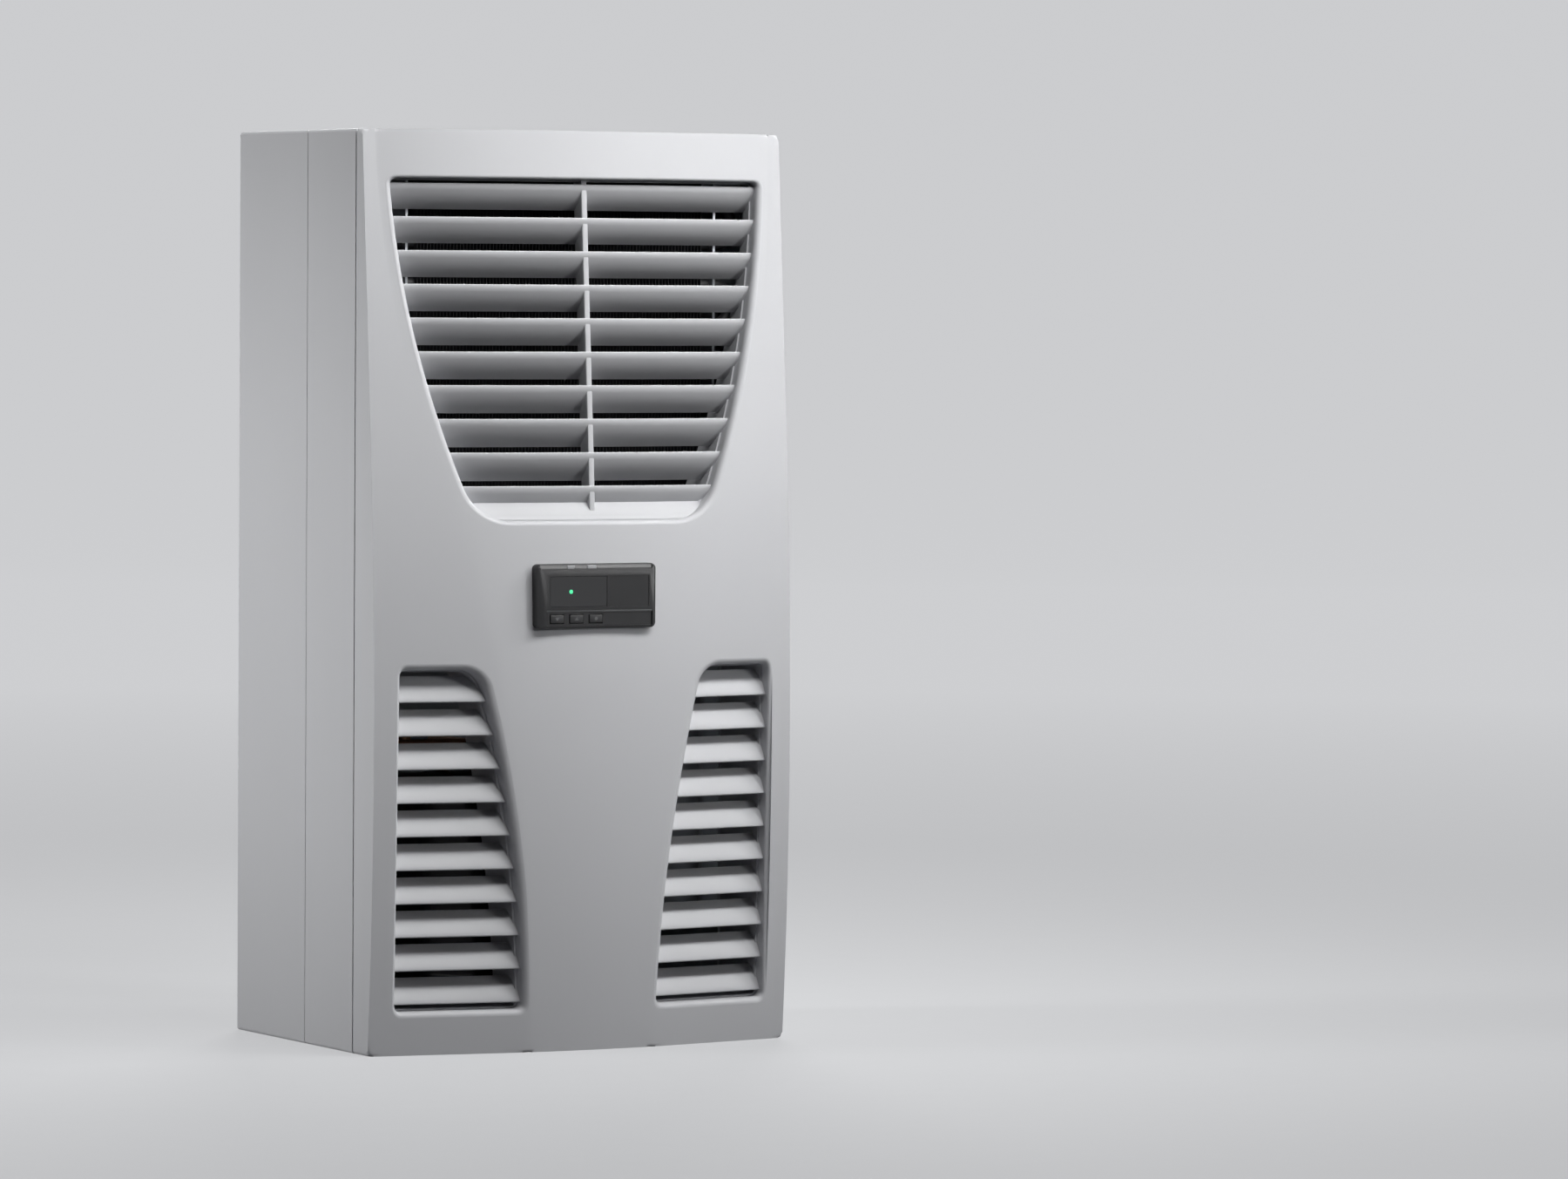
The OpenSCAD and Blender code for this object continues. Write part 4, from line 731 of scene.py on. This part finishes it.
def rounded_outline(cx, cz, w, h, r, count=6):
    run = []
    for sx, sz, start in ((1, 1, 0), (-1, 1, pi / 2), (-1, -1, pi), (1, -1, 3 * pi / 2)):
        run += arc(cx + sx * (w / 2 - r), cz + sz * (h / 2 - r), r, start, start + pi / 2, count)
    return run


def face_loop(bm, share, back):
    loop = []
    for x, z, dx, dz in rounded_outline(face_x, face_z, face_w, face_h, face_corner):
        up = max(dz, 0.0) ** top_power
        side_part, top_part = sin(share * pi / 2) * (1 - top_share * up), top_share * up * share
        inset = (edge_ease + (top_slope - edge_ease) * up) * (1 - side_part - top_part)
        depth = (edge_ease + top_lean * up) * (1 - cos(share * pi / 2) * (1 - up) - up * (1 - share))
        px, pz = x - inset * dx, z - inset * dz
        y = front_y + depth if back is None else joint_y - middle_reach(px, pz) + back
        loop.append(bm.verts.new(Vector((px, y, pz)) * mm))
    return loop


bm = bmesh.new()
loops = [face_loop(bm, i / (rounds - 1), None) for i in range(rounds)] + [face_loop(bm, 1.0, skin_seat)]
ring_edges = []
for loop in loops:
    ring_edges.append([bm.edges.new((loop[i - 1], loop[i])) for i in range(len(loop))])
for near, far in zip(ring_edges, ring_edges[1:]):
    bmesh.ops.bridge_loops(bm, edges=near + far)
for loop in (loops[0], loops[-1]):
    bm.faces.new(loop)
face = piece("controller_face", bm, controller_satin, "cover", angle=25)
print("controller face:", len(face.data.polygons), "faces")

# %% Sleeve, pockets and key holes
def rectangle(x0, x1, z0, z1):
    return [(x0, z0), (x1, z0), (x1, z1), (x0, z1)]


def pocket(name, x0, x1, z0, z1, deep):
    return slab(name, rectangle(x0, x1, z0, z1), front_y - cutter_front, front_y + deep)


cutter_front, through = 1.0, 15.0
sleeve_over, sleeve_wall, sleeve_front, sleeve_back, sleeve_hollow = 1.9, 1.7, 3.0, 14.0, 4.0
window_clear, window_deep, key_clear, keys_deep = 0.2, 2.0, 0.3, 0.9
strip_low, strip_high, groove_h, groove_deep = 1.6, 9.6, 1.3, 0.5
panel_left, panel_right, side_left, side_right, side_deep = 2.6, 68.4, 1.6, 66.0, 0.35

board_low, board_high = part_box("display_board")
sx0, sx1 = board_low[0] / mm - sleeve_over, board_high[0] / mm + sleeve_over
sz0, sz1 = board_low[2] / mm - sleeve_over, board_high[2] / mm + sleeve_over
window_low, window_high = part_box("display_window")
wx0, wx1, wz0, wz1 = (v / mm for v in (window_low[0], window_high[0], window_low[2], window_high[2]))
strip_z0, strip_z1 = face_z - face_h / 2 + strip_low, face_z - face_h / 2 + strip_high
sleeve = slab("sleeve", rectangle(sx0, sx1, sz0, sz1), front_y + sleeve_front, front_y + sleeve_back)
combine(face, [sleeve], "UNION", 25)

cutters = [
    slab("hollow", rectangle(sx0 + sleeve_wall, sx1 - sleeve_wall, sz0 + sleeve_wall, sz1 - sleeve_wall),
         front_y + sleeve_hollow, front_y + through),
    pocket("window_pocket", wx0 - window_clear, wx1 + window_clear, wz0 - window_clear, wz1 + window_clear,
           window_deep),
    pocket("trim_groove", wx0 - panel_left, wx0 + panel_right, strip_z1, strip_z1 + groove_h, groove_deep),
    pocket("key_pocket", wx0 - panel_left, wx0 + panel_right, strip_z0, strip_z1, keys_deep),
    pocket("side_pocket", wx1 + side_left, wx0 + side_right, wz0 - window_clear, wz1 + window_clear,
           side_deep),
]
for name in ("key_down", "key_up", "key_set"):
    low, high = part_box(name)
    x0, x1, z0, z1 = (v / mm for v in (low[0], high[0], low[2], high[2]))
    cutters.append(pocket("hole_" + name, x0 - key_clear, x1 + key_clear, z0 - key_clear, z1 + key_clear,
                          through))
combine(face, cutters, angle=25)
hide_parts("controller_housing")
print("controller face with its pockets:", len(face.data.polygons), "faces")

# %% [markdown]
# ## Keys, trim and painted glints
#
# The three keys are small rounded caps with plain generic marks: down, up and a dot. A slightly
# lighter strip parts them from the window. Each block below starts as a cube, is scaled in place
# and gets its edges eased, so that it shows a fine highlight instead of a razor edge.

# %% Eased blocks
def eased_block(name, low, high, ease, material, body, segments=3):
    bm = bmesh.new()
    bmesh.ops.create_cube(bm, size=1.0)
    size = Vector(high) - Vector(low)
    bmesh.ops.scale(bm, vec=size * mm, verts=bm.verts)
    bmesh.ops.translate(bm, vec=(Vector(low) + size / 2) * mm, verts=bm.verts)
    bmesh.ops.bevel(bm, geom=bm.edges[:], offset=ease * mm, segments=segments, profile=0.5,
                    affect="EDGES", material=-1)
    return piece(name, bm, material, body, angle=30)


trim_grey = satin("trim_grey", (0.050, 0.052, 0.054), 0.42, 2400.0, 0.00002)
# Light grey for the two blocks on the controller's upper edge: painted highlights for two glints.
glint_grey = satin("glint_grey", (0.340, 0.345, 0.355), 0.45, 2400.0, 0.00002)
mark_grey = satin("mark_grey", (0.110, 0.112, 0.115), 0.50, 2400.0, 0.00001)
trim_clear, trim_seat, trim_front, trim_back, trim_ease = 0.1, 0.05, 0.1, 0.6, 0.2
eased_block("key_trim", (wx0 - panel_left + trim_clear, front_y + trim_front, strip_z1 + trim_seat),
            (wx0 + panel_right - trim_clear, front_y + trim_back, strip_z1 + groove_h - trim_seat),
            trim_ease, trim_grey, "cover")
# Two painted glints on the controller's upper edge, drawn as light grey blocks.
glint_spans = ((-22.4, -17.2), (-9.0, -2.6))
glint_front, glint_back, glint_low, glint_high, glint_ease = 0.35, 3.2, 3.4, 0.9, 0.5
for number, (x0, x1) in enumerate(glint_spans):
    eased_block("edge_glint_" + str(number + 1), (x0, front_y + glint_front, face_z + face_h / 2 - glint_low),
                (x1, front_y + glint_back, face_z + face_h / 2 - glint_high),
                glint_ease, glint_grey, "cover")

# %% Keys and their marks
def flat_mark(name, spots, y, thick, body):
    bm = bmesh.new()
    front = bm.faces.new([bm.verts.new(Vector((x, y, z)) * mm) for x, z in spots])
    grown = bmesh.ops.extrude_face_region(bm, geom=[front])["geom"]
    bmesh.ops.translate(bm, vec=(0, thick * mm, 0),
                        verts=[g for g in grown if isinstance(g, bmesh.types.BMVert)])
    return piece(name, bm, mark_grey, body, angle=20)


key_ease, mark_proud, mark_thick = 0.55, 0.04, 0.2
arrow_half, arrow_base, arrow_tip, dot_r = 1.3, 0.8, 1.2, 1.0
for name, tip in (("key_down", -1), ("key_up", 1), ("key_set", 0)):
    low, high = (Vector(v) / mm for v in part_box(name))
    cap = eased_block(name + "_cap", low, high, key_ease, key_satin, name)
    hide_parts(name)
    cx, cz = (low.x + high.x) / 2, (low.z + high.z) / 2
    if tip:
        base = cz - tip * arrow_base
        spots = [(cx - arrow_half, base), (cx + arrow_half, base), (cx, cz + tip * arrow_tip)]
    else:
        spots = [(x, z) for x, z, _, _ in arc(cx, cz, dot_r, 0, 2 * pi, 16)[:-1]]
    flat_mark(name + "_mark", spots, low.y - mark_proud, mark_thick, name)
print("three keys with their marks")

# %% [markdown]
# ## Fin packs
#
# A real heat exchanger has a fin about every two millimetres, so close that only a dark comb is
# seen between the louvres. The frame's fins stand further apart. Each pack is made again from
# thin sheets at the real spacing, with the small collars of the sheets left out.

# %% Dense fins
def fin_pack(name, node, finish, pitch=2.2, thick=0.25):
    low, high = (Vector(v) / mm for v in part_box(node))
    count = int((high.x - low.x - thick) / pitch)
    first = (low.x + high.x - count * pitch) / 2
    bm = bmesh.new()
    for i in range(count + 1):
        made = bmesh.ops.create_cube(bm, size=1.0)["verts"]
        bmesh.ops.scale(bm, vec=Vector((thick, high.y - low.y, high.z - low.z)) * mm, verts=made)
        bmesh.ops.translate(bm, vec=Vector((first + i * pitch, (low.y + high.y) / 2,
                                            (low.z + high.z) / 2)) * mm, verts=made)
    pack = piece(name, bm, finish, "casing")
    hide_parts(node)
    print(name, "has", count + 1, "fins")


# The condenser's pack takes the near-black coat: painted shade between the louvres.
fin_pack("condenser_core", "condenser_fins", fin_coating)
fin_pack("evaporator_core", "evaporator_fins", fin_aluminium)

# %% [markdown]
# ## Stage
#
# A pale round floor runs up into a pale backdrop on all sides in one soft curve, so the unit can be
# looked at from any side. The camera, and every glossy or clear surface, sees the pale colour, which
# brightens slightly with the distance from the unit. To light that bounces on, the same paper is
# dark grey, so the undersides of the louvres keep their shade while the floor takes the unit's
# shadow.

# %% Floor and backdrop
stage = Finish("stage_paper", Roughness=0.9, Specular_IOR_Level=0.1, Emission_Strength=1.0)
paper = stage.noise(40.0)
seen = (stage.add("ShaderNodeLightPath", {}, {}, out="Is Camera Ray")
        + stage.add("ShaderNodeLightPath", {}, {}, out="Is Glossy Ray")
        + stage.add("ShaderNodeLightPath", {}, {}, out="Is Transmission Ray")).above(0.5)
glow_start, glow_end = 0.5, 4.0
distance = stage.add("ShaderNodeVectorMath", {"operation": "LENGTH"}, {"Vector": stage.place}, out="Value")
far = stage.add("ShaderNodeMapRange", {}, {"Value": distance, "From Min": glow_start, "From Max": glow_end})
pale = stage.mix(paper, (0.145, 0.147, 0.15, 1), (0.155, 0.157, 0.16, 1))
stage.drive("Base Color", stage.mix(seen, (0.10, 0.10, 0.11, 1), pale))
glow = stage.mix(far, (0.46, 0.464, 0.475, 1), (0.60, 0.605, 0.62, 1))
stage.drive("Emission Color", stage.mix(seen, (0, 0, 0, 1), glow))
floor_reach, bend, wall_top, floor_steps = 7.0, 1.2, 6.0, 96
sweep_line = ([(0.0, 0.0)] + [(floor_reach + bend * sin(radians(t)), bend - bend * cos(radians(t)))
                              for t in range(0, 91, 10)] + [(floor_reach + bend, wall_top)])
bm = bmesh.new()
line = [bm.verts.new((x, 0.0, z)) for x, z in sweep_line]
edges = [bm.edges.new(pair) for pair in zip(line, line[1:])]
bmesh.ops.spin(bm, geom=line + edges, cent=(0, 0, 0), axis=(0, 0, 1), angle=radians(360),
                steps=floor_steps)
bmesh.ops.remove_doubles(bm, verts=bm.verts, dist=0.0001)
bmesh.ops.recalc_face_normals(bm, faces=bm.faces)
print("floor faces", len(bm.faces))
mesh = bpy.data.meshes.new("floor")
bm.to_mesh(mesh)
bm.free()
floor = bpy.data.objects.new("floor", mesh)
bpy.context.collection.objects.link(floor)
floor.data.materials.append(stage.material)
floor.data.shade_smooth()

# %% [markdown]
# ## Light
#
# Every lamp has a grid, which narrows its beam. Two key lamps stand to the right, one high and one
# lower. They brighten the right wing and throw the controller's shadow to the left. A near lamp
# hangs in front of the upper opening. These three are aimed high, so the light falls off towards
# the floor. A narrow lamp at the front right lifts the cover's middle, from which the left wing
# turns away. A lamp on the left lights the casing's side, and one behind lights its rear.

# %% Lamps and world
def lamp(name, place, aim, size, power, spread):
    data = bpy.data.lights.new(name, "AREA")
    data.shape = "RECTANGLE"
    data.size, data.size_y = size
    data.energy = power
    data.spread = radians(spread)
    obj = bpy.data.objects.new(name, data)
    obj.location = place
    obj.rotation_euler = (Vector(aim) - Vector(place)).to_track_quat("-Z", "Y").to_euler()
    obj.visible_camera = False
    bpy.context.collection.objects.link(obj)
    return obj


top_edge = (0.0, 0.0, 0.56)
lamp("key_lamp", place=(0.98, -1.2, 2.1), aim=top_edge, size=(0.5, 0.5), power=1.6, spread=50)
lamp("low_key_lamp", place=(1.78, -0.83, 1.68), aim=top_edge, size=(0.5, 0.5), power=1.85, spread=50)
lamp("near_lamp", place=(0.1, -0.9, 1.3), aim=(-0.02, 0.0, 0.5), size=(0.7, 0.3), power=2.9, spread=90)
lamp("middle_lamp", place=(1.6, -2.2, 0.9), aim=(0.05, 0.0, 0.34), size=(0.4, 0.4), power=0.24, spread=20)
lamp("side_lamp", place=(-2.0, 0.6, 1.0), aim=(-0.14, 0.1, 0.3), size=(0.8, 0.6), power=1.45, spread=26)
lamp("back_lamp", place=(1.1, 1.9, 1.0), aim=(0.1, 0.15, 0.3), size=(0.9, 0.7), power=3.0, spread=60)

world = bpy.data.worlds.new("world")
bpy.context.scene.world = world
world.use_nodes = True
sky = world.node_tree.nodes["Background"]
sky.inputs["Color"].default_value = (0.92, 0.94, 1.0, 1)
sky.inputs["Strength"].default_value = 0.03
bpy.context.scene.view_settings.view_transform = "Standard"
